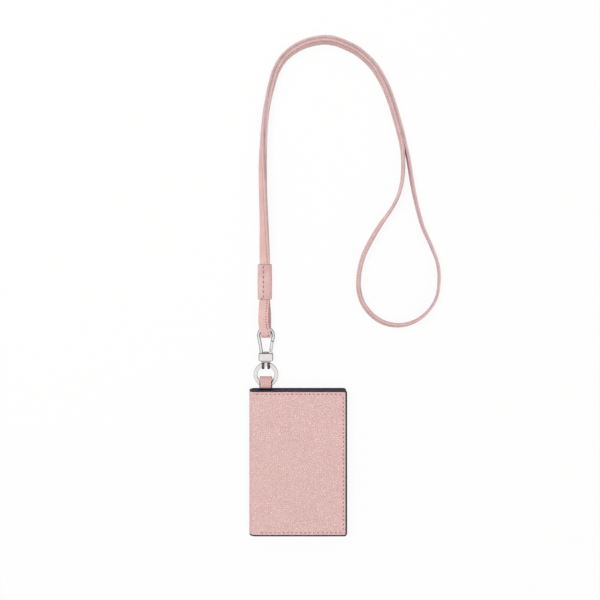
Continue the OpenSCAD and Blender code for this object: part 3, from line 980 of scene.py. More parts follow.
@dataclass
class Cover:
    """One cover of the wallet: outer leather, painted edge and stitches."""

    side: Side
    finishes: Finishes
    stitch_l: float = 1.65
    thread_w: float = 0.58
    thread_h: float = 0.42
    stitch_turn: float = 14.0
    stitches_from: dict[int, float] = field(default_factory=lambda: {-1: -29.4, 1: -33.4})
    groove_d: float = 0.18
    groove_half: float = 0.4
    groove_lead: float = 1.1
    rim: float = 0.98
    roll_d: float = 0.3
    roll_w: float = 0.55
    wave_d: float = 0.05
    bead_t: float = 2.0
    insets: tuple[float, ...] = (
        0.98, 1.06, 1.16, 1.3, 1.55, 1.9, 2.2, 2.45, 2.6, 2.75, 2.9, 3.05, 3.2, 3.35, 3.6, 4.0, 4.8,
    )
    bead: tuple[tuple[float, float, bool], ...] = (
        (1.4, 0.25, False), (1.22, 0.06, False), (0.85, 0.0, False), (0.5, 0.03, False),
        (0.18, 0.2, False), (0.04, 0.55, False), (0.0, 0.9, False), (0.0, 0.9, True),
        (0.04, 0.55, True), (0.18, 0.22, True), (0.5, 0.03, True), (0.85, 0.0, True),
        (1.22, 0.06, True), (1.4, 0.25, True),
    )

    def __post_init__(self) -> None:
        """Makes the sheet that the cover's pieces lie on."""
        self.sheet = BentSheet(self.side)

    @property
    def name(self) -> str:
        """The cover's name, front or back."""
        return self.side.value

    def build(self) -> None:
        """Builds the cover's pieces and dresses its plain ones."""
        self.leather()
        self.painted_edge()
        self.stitches()
        for node, finish in (("board", self.finishes.board), ("lining", self.finishes.lining)):
            dress_node(f"{self.name}_{node}", finish)

    def lines_across(self) -> np.ndarray:
        """Places along the sheet for the leather's grid."""
        bend = np.linspace(self.sheet.spine_a, self.sheet.bend_x, 20)
        flat = np.linspace(self.sheet.bend_x, SIZES.half_w - self.insets[-1], 30)
        rim = SIZES.half_w - np.array(self.insets[-2::-1])
        return np.concatenate([bend, flat[1:], rim])

    def lines_along(self) -> np.ndarray:
        """Places along Y for the leather's grid."""
        rim = SIZES.half_h - np.array(self.insets[:-1])
        field_lines = np.linspace(
            -SIZES.half_h + self.insets[-1], SIZES.half_h - self.insets[-1], 40
        )
        return np.concatenate([-rim, field_lines, rim[::-1]])

    def round_corners(self, a: np.ndarray, y: np.ndarray) -> tuple[np.ndarray, np.ndarray]:
        """Moves grid points near the two outer corners onto round outlines.

        Args:
            a: Distances along the sheet.
            y: Places along Y.

        Returns:
            The moved a and y.
        """
        r = SIZES.corner_r
        dx, dy = SIZES.half_w - a, SIZES.half_h - np.abs(y)
        low, high = np.minimum(dx, dy), np.maximum(dx, dy)
        near = high < r
        share = np.where(near, (high - low) / np.maximum(r - low, 1e-6), 0)
        turn = math.pi / 4 * (1 - share)
        short, long = r - (r - low) * np.cos(turn), r - (r - low) * np.sin(turn)
        new_dx = np.where(near, np.where(dx <= dy, short, long), dx)
        new_dy = np.where(near, np.where(dx <= dy, long, short), dy)
        return SIZES.half_w - new_dx, np.sign(y) * (SIZES.half_h - new_dy)

    def face_depth(self, a: np.ndarray, y: np.ndarray) -> np.ndarray:
        """Depth of the leather's outer face: rolled rim, stitch groove and soft waves."""
        dx, dy = SIZES.half_w - a, SIZES.half_h - np.abs(y)
        inset = np.minimum(dx, dy)
        start = np.where(y > 0, self.stitches_from[1], self.stitches_from[-1]) - self.groove_lead
        runs = smooth_share(a, start, start + 2)
        away = (inset - SIZES.stitch_in) / self.groove_half
        groove = self.groove_d * runs * np.exp(-(away**2))
        rolled = self.roll_d * (1 - smooth_share(inset, self.rim, self.rim + self.roll_w))
        wave = self.wave_d * np.sin(a / 8.5 + 1.3) * np.sin(y / 12.5 + 0.4)
        wave = wave * smooth_share(inset, 3.5, 9.0) * smooth_share(a, -33, -26)
        return groove + rolled + wave + 0.02

    def leather(self) -> None:
        """Outer leather, from the middle of the spine to the open edge."""
        grid_a, grid_y = np.meshgrid(self.lines_across(), self.lines_along(), indexing="ij")
        depth = self.face_depth(grid_a, grid_y)
        a, y = self.round_corners(grid_a, grid_y)
        top = self.sheet.spot(a, y, depth)
        low = self.sheet.spot(a, y, np.full_like(depth, SIZES.skin_t))
        count = grid_a.size
        at = np.arange(count).reshape(grid_a.shape)
        quads = np.stack([at[:-1, :-1], at[:-1, 1:], at[1:, 1:], at[1:, :-1]], axis=-1)
        faces: Faces = []
        for quad in quads.reshape(-1, 4).tolist():
            faces += [tuple(quad), tuple(count + q for q in reversed(quad))]
        border = np.concatenate([at[:, 0], at[-1, 1:], at[-2::-1, -1], at[0, -2:0:-1]]).tolist()
        for p, q in zip(border, border[1:] + border[:1]):
            faces.append((p, q, count + q, count + p))
        part = (np.concatenate([top, low]), faces, [0] * len(faces))
        looks = [self.finishes.cover]
        piece = make_piece(f"{self.name}_outer_leather", [part], looks)
        self.sheet.attach(piece, f"{self.name}_skin", "spine_skin")

    def contour(self, inset: float) -> tuple[np.ndarray, np.ndarray]:
        """The cover's outline at an inset, from the spine's foot round to its head.

        Args:
            inset: Distance in from the free edge.

        Returns:
            Places along the sheet and along Y, the same count for every inset.
        """
        r, w, h = SIZES.corner_r, SIZES.half_w, SIZES.half_h
        bend = np.linspace(self.sheet.spine_a, self.sheet.bend_x, 20)
        across = np.concatenate([bend, np.linspace(self.sheet.bend_x, w - r, 36)[1:]])
        along = np.linspace(-(h - r), h - r, 50)
        turn = np.radians(np.linspace(-90, 0, 9))[1:-1]
        reach = max(r - inset, 0.02)
        corner_a = w - r + reach * np.cos(turn)
        corner_y = h - r - reach * np.sin(turn)
        free_a, free_y = np.full(len(along), w - inset), np.full(len(across), h - inset)
        a = np.concatenate([across, corner_a, free_a, corner_a[::-1], across[::-1]])
        y = np.concatenate([-free_y, -corner_y, along, corner_y[::-1], free_y])
        return a, y

    def painted_edge(self) -> None:
        """Rounded bead of edge paint over all the cover's layers."""
        rim_a, _ = self.contour(0)
        full = smooth_share(rim_a, -36.6, -34.6)
        thick = self.bead_t + (SIZES.cover_t - self.bead_t) * full
        steps = np.arange(len(rim_a))
        unevenness = 0.025 * np.sin(steps * 0.9) + 0.02 * np.sin(steps * 0.37 + 1)
        columns = []
        for inset, depth, far in self.bead:
            a, y = self.contour(inset)
            deep = np.minimum(depth, thick / 2)
            deep = thick - deep if far else deep
            columns.append(self.sheet.spot(a, y, deep + unevenness * (0.3 if far else 1) + 0.03))
        part = loft(list(np.stack(columns, axis=1)))
        piece = make_piece(
            f"{self.name}_painted_edge", [part], [self.finishes.paint]
        )
        self.sheet.attach(piece, f"{self.name}_edge")

    def stitches(self) -> None:
        """The saddle stitches along the three free sides, lying in their groove."""
        pitch = SIZES.stitch_pitch
        x_end, y_end = SIZES.half_w - SIZES.stitch_in, SIZES.half_h - SIZES.stitch_in
        spots = []
        for s in (-1, 1):
            count = int((x_end - pitch * 0.5 - self.stitches_from[s]) / pitch) + 1
            spots += [
                (x_end - pitch * (i + 0.75), s * y_end, s * self.stitch_turn) for i in range(count)
            ]
        along = int((2 * y_end - pitch) / pitch)
        spots += [(x_end, (i - along / 2) * pitch, 90 + self.stitch_turn) for i in range(along + 1)]
        parts = [part for spot in spots for part in self.one_stitch(*spot)]
        looks = [self.finishes.thread, self.finishes.slot]
        cover = f"{self.name}_cover"
        make_piece(
            f"{self.name}_stitches", parts, looks, cover, [f"{self.name}_thread"]
        )

    def one_stitch(self, a: float, y: float, turn: float) -> list[Part]:
        """One stitch at a place on the cover, turned by some degrees."""
        up = self.sheet.normal(np.array([a]))[0]
        middle = self.sheet.spot(np.array([a]), np.array([y]), np.array([self.groove_d + 0.02]))[0]
        across = np.cross(ALONG_Y, up)
        across = across if across[0] > 0 else -across
        angle = math.radians(turn)
        along = across * math.cos(angle) + ALONG_Y * math.sin(angle)
        return sewn_stitch(middle, along, up, self.stitch_l, self.thread_w, self.thread_h)


def dress_node(node: str, finish: Material) -> None:
    """Gives a CAD node that stays a better material."""
    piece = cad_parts[node]
    piece.data.materials.clear()
    piece.data.materials.append(finish)


# ---------------------------------------------------------------- inside of the wallet


@dataclass
class Inside:
    """The lined inside: spine lining, window frame, film and card slots."""

    finishes: Finishes
    window_w: float = 54.0
    window_h: float = 80.0
    frame_w: float = 5.0
    frame_z: tuple[float, float] = (3.3, 3.9)
    frame_stitch: StitchSize = (1.8, 0.45, 0.3, 0.2)
    frame_pitch: float = 2.9
    frame_seam_in: float = 1.3
    slot_t: float = 0.5
    slot_h: float = 46.0
    slot_step: float = 13.0
    slot_gap: float = 0.1
    slot_stitch: StitchSize = (1.7, 0.4, 0.24, 0.15)
    slot_pitch: float = 3.0
    slot_seam_in: tuple[float, float] = (1.2, 1.6)

    def build(self) -> None:
        """Builds the inside's pieces."""
        for side in Side:
            self.spine_lining(side)
        self.window_frame()
        self.window_stitches()
        dress_node("id_film", self.finishes.film)
        for level in range(3):
            self.card_slot(level)

    def spine_lining(self, side: Side) -> None:
        """Half of the lining strip in the spine, from a cover's lining to the spine's middle."""
        bend = [(-33.4, 2.72), (-34.3, 2.76), (-34.95, 3.0)]
        bend += [(-35.25, 3.6), (-35.3, 4.3), (-35.3, 4.8)]
        route = smooth_route(np.array([[x, 0, z] for x, z in bend]), 0.2)
        if side is Side.FRONT:
            route[:, 2] = SIZES.thickness - route[:, 2]
        tangent = unit_rows(np.gradient(route, axis=0))
        normal = np.column_stack([-tangent[:, 2], np.zeros(len(route)), tangent[:, 0]])
        half_y, half_t = SIZES.half_h - SIZES.edge_w - 0.2, 0.24
        corners = ((-1, -1), (-1, 1), (-0.5, 1), (0, 1), (0.5, 1), (1, 1), (1, -1), (0, -1))
        outline = [(s * half_y, q * half_t) for s, q in corners]
        part = sweep(route, [ALONG_Y] * len(route), normal, outline)
        looks = [self.finishes.lining]
        piece = make_piece(f"spine_lining_{side.value}", [part], looks)
        BentSheet(side).attach(piece, "spine_lining")

    @property
    def window_spot(self) -> tuple[float, float]:
        """Middle of the window, in X and Y."""
        return (SIZES.cover_x0 + SIZES.half_w - SIZES.edge_w) / 2, -4.15

    def window_frame(self) -> None:
        """Leather frame sewn on over the film."""
        z0, z1 = self.frame_z
        half_w, half_h = self.window_w / 2, self.window_h / 2
        x, y = self.window_spot
        wide = self.frame_w
        profile = [
            (0.0, z0), (-0.06, z0 + 0.3), (0.04, z1 - 0.1), (0.25, z1 - 0.02), (0.9, z1 - 0.02),
            (1.3, z1 - 0.12), (1.7, z1 - 0.02), (wide - 0.6, z1), (wide - 0.2, z1 - 0.04),
            (wide, z1 - 0.2), (wide, z0 + 0.15), (wide - 0.1, z0),
        ]
        rings = []
        for out, z in profile:
            corner = 1.2 + max(out, 0) * 0.3
            outline = rounded_box_outline(half_w + out, half_h + out, corner, 6)
            rings.append(np.column_stack([outline, np.full(len(outline), z)]) + [x, y, 0])
        part = loft(rings, closed=True)
        looks = [self.finishes.lining]
        make_piece("window_frame", [part], looks, "back_cover", ["id_frame"])

    def window_stitches(self) -> None:
        """Stitches round the window on three sides, open for a card at the spine."""
        x, y = self.window_spot
        z, pitch, size = self.frame_z[1] - 0.1, self.frame_pitch, self.frame_stitch
        half_w = self.window_w / 2 + self.frame_seam_in
        half_h = self.window_h / 2 + self.frame_seam_in
        count = int(2 * half_w / pitch)
        parts = []
        for s in (-1, 1):
            start = [x - half_w + pitch * 0.8, y + s * half_h, z]
            parts += plain_row(start, ALONG_X, UP, pitch, count, *size)
        start = [x + half_w, y - half_h + pitch * 0.7, z]
        parts += plain_row(start, ALONG_Y, UP, pitch, int(2 * half_h / pitch), *size)
        make_piece("window_stitches", parts, [self.finishes.thread], "back_cover")

    def card_slot(self, level: int) -> None:
        """One card slot of the front cover; the upper ones are strips behind the lower."""
        side = SIZES.edge_w + self.slot_gap
        x0, x1 = SIZES.cover_x0 + side, SIZES.half_w - side
        y0 = -SIZES.half_h + side
        if level:
            y0 += self.slot_h + (level - 1) * self.slot_step + self.slot_gap
        height = self.slot_step - self.slot_gap if level else self.slot_h
        z = SIZES.thickness - SIZES.cover_t - self.slot_t / 2
        middle = ((x0 + x1) / 2, y0 + height / 2, z)
        leather = soft_block(middle, ((x1 - x0) / 2, height / 2, self.slot_t / 2), 0.6, 0.2)
        pitch, (clear, below) = self.slot_pitch, self.slot_seam_in
        start = [x0 + clear + pitch / 2, y0 + height - below, z - self.slot_t / 2 + 0.04]
        count = int((x1 - x0 - 2 * clear) / pitch)
        sewn = plain_row(start, ALONG_X, -UP, pitch, count, *self.slot_stitch)
        name, body = f"card_slot_{level + 1}", "front_cover"
        looks = [self.finishes.lining]
        make_piece(f"{name}_leather", [leather], looks, body, [name])
        make_piece(f"{name}_stitches", sewn, [self.finishes.thread], body)


# ---------------------------------------------------------------- tab


@dataclass
class Tab:
    """Leather tab that loops round the split ring's wire."""

    finishes: Finishes
    width: float = 9.5
    leather_t: float = 1.1
    loop_y: tuple[float, float] = (58.789, 60.6)
    painted_to: float = 61.5
    root_painted_shade_to: float = 56.2
    loop_half: float = 3.9
    root_y: float = 47.0
    paint_w: float = 0.6
    stitch: StitchSize = (1.9, 0.55, 0.36, 0.2)
    stitch_in: float = 1.2

    def build(self) -> None:
        """Builds the tab's pieces."""
        self.loop()
        self.stitches()

    def middle_line(self) -> np.ndarray:
        """Middle of the leather, in Y and Z, from the lower ply round to the upper one."""
        ply, r = self.leather_t / 2, self.loop_half - self.leather_t / 2
        y0, y1 = self.loop_y
        lower = [[self.root_y, -ply], [53.8, -ply], [54.7, -ply - 0.2], [55.6, -ply - 0.85]]
        for turn in (224, 240, 256):
            angle = math.radians(turn)
            lower.append([y0 + r * math.cos(angle), r * math.sin(angle)])
        crown = [
            [y1 + r * math.cos(math.radians(turn)), r * math.sin(math.radians(turn))]
            for turn in range(-90, 91, 18)
        ]
        upper = [[y, -z] for y, z in reversed(lower)]
        return smooth_route(
            np.array([[0, y, z + SIZES.mid_z] for y, z in lower + crown + upper]), 0.35
        )

    def loop(self) -> None:
        """The tab's strip of leather, pink with painted side edges, its foot dark as a painted
        shadow.
        """
        route = self.middle_line()
        tangent = unit_rows(np.gradient(route, axis=0))
        out = np.column_stack([np.zeros(len(route)), tangent[:, 2], -tangent[:, 1]])
        half, t = self.width / 2, self.leather_t / 2
        face = half - self.paint_w
        outline = [
            (-face, 0.99), (-face * 0.6, 1.02), (0, 1.03), (face * 0.6, 1.02), (face, 0.99),
            (face + 0.1, 0.9), (face + 0.16, 1.04), (face + 0.45, 1.0), (half - 0.05, 0.6),
            (half, 0), (half - 0.05, -0.6), (face + 0.45, -1.0), (face, -0.98), (0, -1.0),
            (-face, -0.98),
            (-face - 0.45, -1.0), (-half + 0.05, -0.6), (-half, 0), (-half + 0.05, 0.6),
            (-face - 0.45, 1.0), (-face - 0.16, 1.04), (-face - 0.1, 0.9),
        ]
        painted = [0 if abs(s) <= face + 0.05 else 1 for s, _ in outline]
        columns = [max(pair) for pair in zip(painted, painted[1:] + painted[:1])]
        points, faces, marks = sweep(
            route + ALONG_X * SIZES.tab_x,
            [ALONG_X] * len(route),
            out,
            [(s, q * t) for s, q in outline],
            column_finish=columns,
            cap_finish=1,
        )
        # Faces of the tab's foot, near the wallet's edge, take the dark edge paint as a painted
        # shadow where the tab goes in under the front cover; the side edges carry paint a little
        # higher up.
        for i, corners in enumerate(faces):
            y = points[list(corners), 1].mean()
            marks[i] = 1 if y < self.root_painted_shade_to else marks[i] if y < self.painted_to else 0
        looks = [self.finishes.tab, self.finishes.paint]
        part = (points, faces, marks)
        make_piece("tab_loop", [part], looks, "back_cover", ["tab"])

    def stitches(self) -> None:
        """The tab's stitches inside the wallet."""
        pitch = SIZES.stitch_pitch
        parts = []
        for s in (-1, 1):
            x = SIZES.tab_x + s * (self.width / 2 - self.stitch_in)
            start = [x, SIZES.half_h - pitch / 2, SIZES.mid_z + self.leather_t]
            parts += plain_row(start, ALONG_Y, UP, -pitch, 2, *self.stitch)
        looks = [self.finishes.thread]
        make_piece("tab_stitches", parts, looks, "back_cover", ["tab_thread"])


# ---------------------------------------------------------------- metal pieces


def lathe(centre: Sequence[float], axis: np.ndarray, profile: Outline, steps: int = 32) -> Part:
    """A turned shape.

    Args:
        centre: A point on its axis.
        axis: Direction of its axis, ALONG_Y or UP.
        profile: Distance along the axis and radius of each ring.
        steps: Steps round it.

    Returns:
        Points, faces and material indices.
    """
    other = np.abs(np.cross(axis, ALONG_X))
    return loft(
        [section_at(centre + axis * d, ALONG_X, other, oval(r, r, steps)) for d, r in profile]
    )


def box_along_y(half_x: float, half_z: float, r: float, stations: Outline) -> Part:
    """A bar of rounded rectangular section along Y, on the line that tab and hook share.

    Args:
        half_x: Half its width.
        half_z: Half its height.
        r: Radius of its long edges.
        stations: Y and inset of each ring.

    Returns:
        Points, faces and material indices.
    """
    rings = []
    for y, inset in stations:
        outline = rounded_box_outline(half_x - inset, half_z - inset, max(r - inset * 0.5, 0.1), 6)
        rings.append(section_at(ALONG_Y * y + AXIS_SPOT, ALONG_X, UP, outline))
    return loft(rings)


def soft_ends(y0: float, y1: float, lip: float) -> list[tuple[float, float]]:
    """Stations of a bar whose two ends are rounded by lip."""
    turns = [math.radians(a) for a in (0, 22, 45, 68, 90)]
    low = [(y0 + lip * (1 - math.sin(a)), lip * (1 - math.cos(a))) for a in turns]
    high = [(y0 + y1 - y, inset) for y, inset in low]
    return low[::-1] + high


@dataclass
class SplitRing:
    """Flat wire wound twice, with a ramp beside its ends."""

    finishes: Finishes
    centre: tuple[float, float, float] = (-24.4, 65.895, 4.1)
    mid_r: float = 7.9
    wire_w: float = 2.8
    wire_t: float = 0.95
    between: float = 0.1
    ends_at: float = 207.0
    ramp: float = 26.0
    slit: float = 2.0

    def level(self, turn: float) -> float:
        """Whether the wire is in the lower coil (-1), the upper one (1) or on its way."""
        if turn < 360 - self.ramp:
            return -1.0
        if turn > 360:
            return 1.0
        return -math.cos(math.pi * (turn - 360 + self.ramp) / self.ramp)

    def build(self) -> None:
        """Builds the wire as one sweep with soft corners."""
        span = 720 - self.ramp - 2 * self.slit
        section = [
            (1.0, 0.0), (0.95, 0.36), (0.84, 0.64), (0.66, 0.86), (0.4, 0.98), (0, 1.03),
            (-0.4, 0.98), (-0.66, 0.86), (-0.84, 0.64), (-0.95, 0.36), (-1.0, 0.0), (-0.95, -0.36),
            (-0.84, -0.64), (-0.66, -0.86), (-0.4, -0.98), (0, -1.0), (0.4, -0.98), (0.66, -0.86),
            (0.84, -0.64), (0.95, -0.36),
        ]
        steps = 300
        rings = []
        for i in range(steps + 1):
            turn = self.slit + i * span / steps
            angle = math.radians(self.ends_at + self.ramp + turn)
            radial = np.array([math.cos(angle), math.sin(angle), 0])
            end = min(i, steps - i)
            full = 0.8 if end == 0 else 0.95 if end == 1 else 1.0
            lift = self.level(turn) * (self.wire_t + self.between)
            spot = self.centre + radial * self.mid_r + UP * lift / 2
            half_w, half_t = full * self.wire_w / 2, full * self.wire_t / 2
            outline = [(s * half_w, q * half_t) for s, q in section]
            rings.append(section_at(spot, radial, UP, outline))
        looks = [self.finishes.nickel]
        make_piece("split_ring_wire", [loft(rings)], looks, "ring", ["split_ring"], 50)


@dataclass
class SwivelEye:
    """Two prongs round the ring, a plate, and a shank with a peened head."""

    finishes: Finishes
    eye_y: float = 73.350
    mid_r: float = 2.925
    prong_w: float = 1.9
    prong_t: float = 0.85
    prong_x: float = 2.1
    plate_y: float = 75.495
    plate_t: float = 0.85
    plate_half: tuple[float, float] = (3.65, 2.5)
    head_y: float = 82.545
    shank_r: float = 1.2
    head: tuple[tuple[float, float], ...] = (
        (0, 2.05), (0.08, 2.14), (0.25, 2.14), (0.45, 2.0), (0.65, 1.65), (0.78, 1.1), (0.8, 0.4),
    )

    def build(self) -> None:
        """Builds the eye as one piece; its prongs take the darker nickel, a painted shade and dark
        reflection.
        """
        parts = [marked(self.prong(SIZES.tab_x + s * self.prong_x), 1) for s in (-1, 1)]
        ends = soft_ends(self.plate_y, self.plate_y + self.plate_t, 0.2)
        parts.append(box_along_y(*self.plate_half, 0.7, ends))
        shank = [(self.plate_y + 0.3, self.shank_r), (self.head_y, self.shank_r)]
        for profile in (shank, [(self.head_y + y, r) for y, r in self.head]):
            parts.append(lathe(AXIS_SPOT, ALONG_Y, profile))
        looks = [self.finishes.nickel, self.finishes.painted_shade_nickel]
        make_piece("swivel_eye_casting", parts, looks, "swivel", ["swivel_eye"], 50)

    def prong(self, x: float) -> Part:
        """One prong, bent round the ring's wire."""
        turns = np.radians(np.linspace(-151, 151, 49))
        outs = [np.array([0, -math.cos(turn), math.sin(turn)]) for turn in turns]
        centre = np.array([x, self.eye_y, SIZES.mid_z])
        outline = rounded_box_outline(self.prong_w / 2, self.prong_t / 2, 0.28, 4)
        return sweep([centre + out * self.mid_r for out in outs], [ALONG_X] * 49, outs, outline)


@dataclass
class SnapHook:
    """Swivel block and hook in one casting, with a pinned, sprung gate."""

    finishes: Finishes
    block_half: tuple[float, float] = (5.45, 3.5)
    block_y: tuple[float, float] = (76.495, 82.395)
    block_r: float = 1.3
    block_lip: float = 0.75
    bar_r: float = 1.25
    hook_l: float = 16.5
    foot_half: float = 3.55
    bow_half: float = 5.6
    bow_y: float = 100.145
    gate_x: float = -20.85
    pivot_y: float = 83.945
    gate_half: float = 0.775
    hub_r: float = 1.125
    cheek_in: float = 0.42
    cheek_lip: float = 0.08
    ear_t: float = 0.75
    play: float = 0.3
    leg_shares: tuple[tuple[float, float], ...] = (
        (0.175, 0.13), (0.385, 0.39), (0.6, 0.68), (0.71, 0.93),
    )
    bow_shares: tuple[tuple[float, float], ...] = (
        (1, 0.95), (0.98, 0.7), (0.93, 0.46), (0.85, 0.27), (0.75, 0.13), (0.6, 0.04), (0.42, 0),
    )
    split_share: tuple[float, float] = (0.545, 0.62)

    def build(self) -> None:
        """Builds the hook's pieces."""
        self.casting()
        self.gate()
        self.pin()
        dress_node("gate_spring", self.finishes.spring)

    def leg_spot(self, share: tuple[float, float], side: int) -> list[float]:
        """A place on a leg's middle line, in X and Y."""
        spread = self.foot_half + share[1] * (self.bow_half - self.foot_half)
        return [SIZES.tab_x + side * spread, self.block_y[1] + share[0] * self.hook_l]

    def bow_spot(self, share: tuple[float, float], side: int) -> list[float]:
        """A place on the bow's middle line, in X and Y."""
        return [
            SIZES.tab_x + side * share[0] * self.bow_half, self.bow_y - share[1] * self.bow_half
        ]

    def bar(
        self, route: Sequence[Sequence[float]], half_w: float, half_t: float, slant: float
    ) -> Part:
        """A round bar along a flat route, with a slanted cut at its end, whose faces take the
        darker nickel as a painted shade line.

        Args:
            route: Places of its middle line, in X and Y.
            half_w: Half its width.
            half_t: Half its height.
            slant: Slope of the cut.

        Returns:
            Points, faces and material indices.
        """
        line = smooth_route(np.array([[x, y, SIZES.mid_z] for x, y in route]), 0.4)
        tangent = unit_rows(np.gradient(line, axis=0))
        rings = []
        last = len(line) - 1
        for i, (spot, d) in enumerate(zip(line, tangent)):
            full = 0.55 if i == last else 0.97 if i == last - 1 else 1.0
            lean = slant * smooth_share(np.array([i]), last - 6, last)[0]
            side = np.array([d[1], lean - d[0], 0])
            rings.append(section_at(spot, side, UP, oval(half_w * full, half_t * full, 20)))
        points, faces, marks = loft(rings, cap_finish=1)
        # The cut end's cap and last band of faces take material 1, the darker nickel: painted shade
        # in the cut.
        tip = (last - 1) * len(rings[0])
        marks = [1 if min(face) >= tip else mark for face, mark in zip(faces, marks)]
        return points, faces, marks

    def casting(self) -> None:
        """Block, bar and the two ears that hold the gate's pin."""
        foot = SIZES.tab_x - self.foot_half
        route = [[foot, self.block_y[1] - 0.6], [foot, self.block_y[1] + 0.2]]
        route += [self.leg_spot(s, -1) for s in self.leg_shares]
        route += [self.bow_spot(s, -1) for s in self.bow_shares]
        route += [self.bow_spot(s, 1) for s in reversed(self.bow_shares)]
        x, y = self.leg_spot(self.split_share, 1)
        route += [self.leg_spot(self.leg_shares[3], 1), [x, y + self.play / 2]]
        inner = self.gate_half + self.play / 2
        parts = [
            box_along_y(
                *self.block_half, self.block_r, soft_ends(*self.block_y, self.block_lip)
            ),
            self.bar(route, self.bar_r, self.bar_r, 1),
            self.ear(SIZES.mid_z - inner - self.ear_t),
            self.ear(SIZES.mid_z + inner),
        ]
        looks = [self.finishes.nickel, self.finishes.painted_shade_nickel]
        make_piece("snap_hook_casting", parts, looks, "hook", ["hook_body"], 50)

    def ear(self, z: float) -> Part:
        """One ear, a plate with a round top and soft rims, from z up."""
        foot = self.block_y[1] - 0.4
        rings = []
        for inset, up in ((0.12, 0.0), (0.0, 0.12), (0.0, self.ear_t - 0.12), (0.12, self.ear_t)):
            r = self.bar_r - inset
            arc = [
                [self.gate_x + r * math.cos(a), self.pivot_y + r * math.sin(a), z + up]
                for a in np.linspace(0, math.pi, 17)
            ]
            rings.append(
                np.array(arc + [[self.gate_x - r, foot, z + up], [self.gate_x + r, foot, z + up]])
            )
        return loft(rings)

    def gate(self) -> None:
        """The gate: hub cheeks on the pin and a bar up to the beak."""
        x, y = self.leg_spot(self.split_share, 1)
        route = [[self.gate_x, self.pivot_y + 0.2]]
        route += [self.leg_spot(s, 1) for s in self.leg_shares[:2]]
        route += [[x, y - self.play / 2]]
        parts = [self.bar(route, self.hub_r, self.gate_half, -1)]
        lip, r = self.cheek_lip, self.hub_r
        for low, high in ((-self.gate_half, -self.cheek_in), (self.cheek_in, self.gate_half)):
            cheek = [(low, r - lip), (low + lip, r), (high - lip, r), (high, r - lip)]
            parts.append(self.turned(cheek, 32))
        looks = [self.finishes.nickel, self.finishes.painted_shade_nickel]
        make_piece("hook_gate", parts, looks, "gate", ["gate"], 50)

    def turned(self, profile: Outline, steps: int) -> Part:
        """A turned shape on the gate's pivot; its profile starts from the middle height."""
        return lathe(np.array([self.gate_x, self.pivot_y, SIZES.mid_z]), UP, profile, steps)

    def pin(self) -> None:
        """The gate's pin, its two ends peened over a little."""
        half = self.gate_half + self.play / 2 + self.ear_t
        profile = [(-half - 0.05, 0.3), (-half, 0.46), (-half + 0.1, 0.5)]
        profile += [(-z, r) for z, r in reversed(profile)]
        looks = [self.finishes.spring]
        make_piece(
            "hook_gate_pin", [self.turned(profile, 20)], looks, "hook", ["gate_pin"], 50
        )


# ---------------------------------------------------------------- strap and keeper

# Route of the pair of strands from the keeper over the arch, as the part's source has it: X, Y
# and the turn from lying flat (0) to standing on edge (90).
PAIR_ROUTE = (
    (-25.4, 155, 12), (-25.5, 165, 29), (-25.7, 180, 43), (-26.3, 199, 51), (-26.6, 214, 56),
    (-26.6, 226, 66), (-26.2, 240, 76), (-25.1, 258, 83), (-23.1, 274, 87), (-20.4, 286, 92),
    (-16.4, 298.2, 93), (-11, 306.8, 94), (-3, 313.6, 94), (5, 317.7, 95), (13, 319.9, 95),
    (20.5, 320.8, 95), (28, 319.8, 95), (36.3, 316.8, 94), (43.8, 313.1, 94), (51.1, 307.6, 93),
    (57.9, 300.5, 93), (63.2, 292.4, 92), (67.5, 283.8, 92), (71.2, 274, 91), (74.9, 262, 90),
    (78, 251, 90), (80.3, 241, 90),
)
# Route of the single strand round the teardrop, from the inner strand to the outer one.
DROP_ROUTE = (
    (80, 228, 90), (79.4, 214.5, 90.5), (76.7, 203, 91), (71.5, 192.4, 90), (63.8, 181.5, 84),
    (55.8, 168.6, 80), (49.4, 155, 82), (46.3, 141.5, 82), (46.3, 130, 80), (50.2, 118.6, 76),
    (57.6, 110, 73), (66, 105.1, 71), (75, 103.3, 71), (84, 104.4, 72), (92.5, 108.4, 74),
    (100, 115.2, 76), (105.2, 124, 78), (107.3, 136, 80), (106.3, 150, 82), (101.6, 163, 84),
    (95.4, 177, 86), (89.7, 197.5, 88), (86.5, 214, 90), (84.3, 228, 90),
)


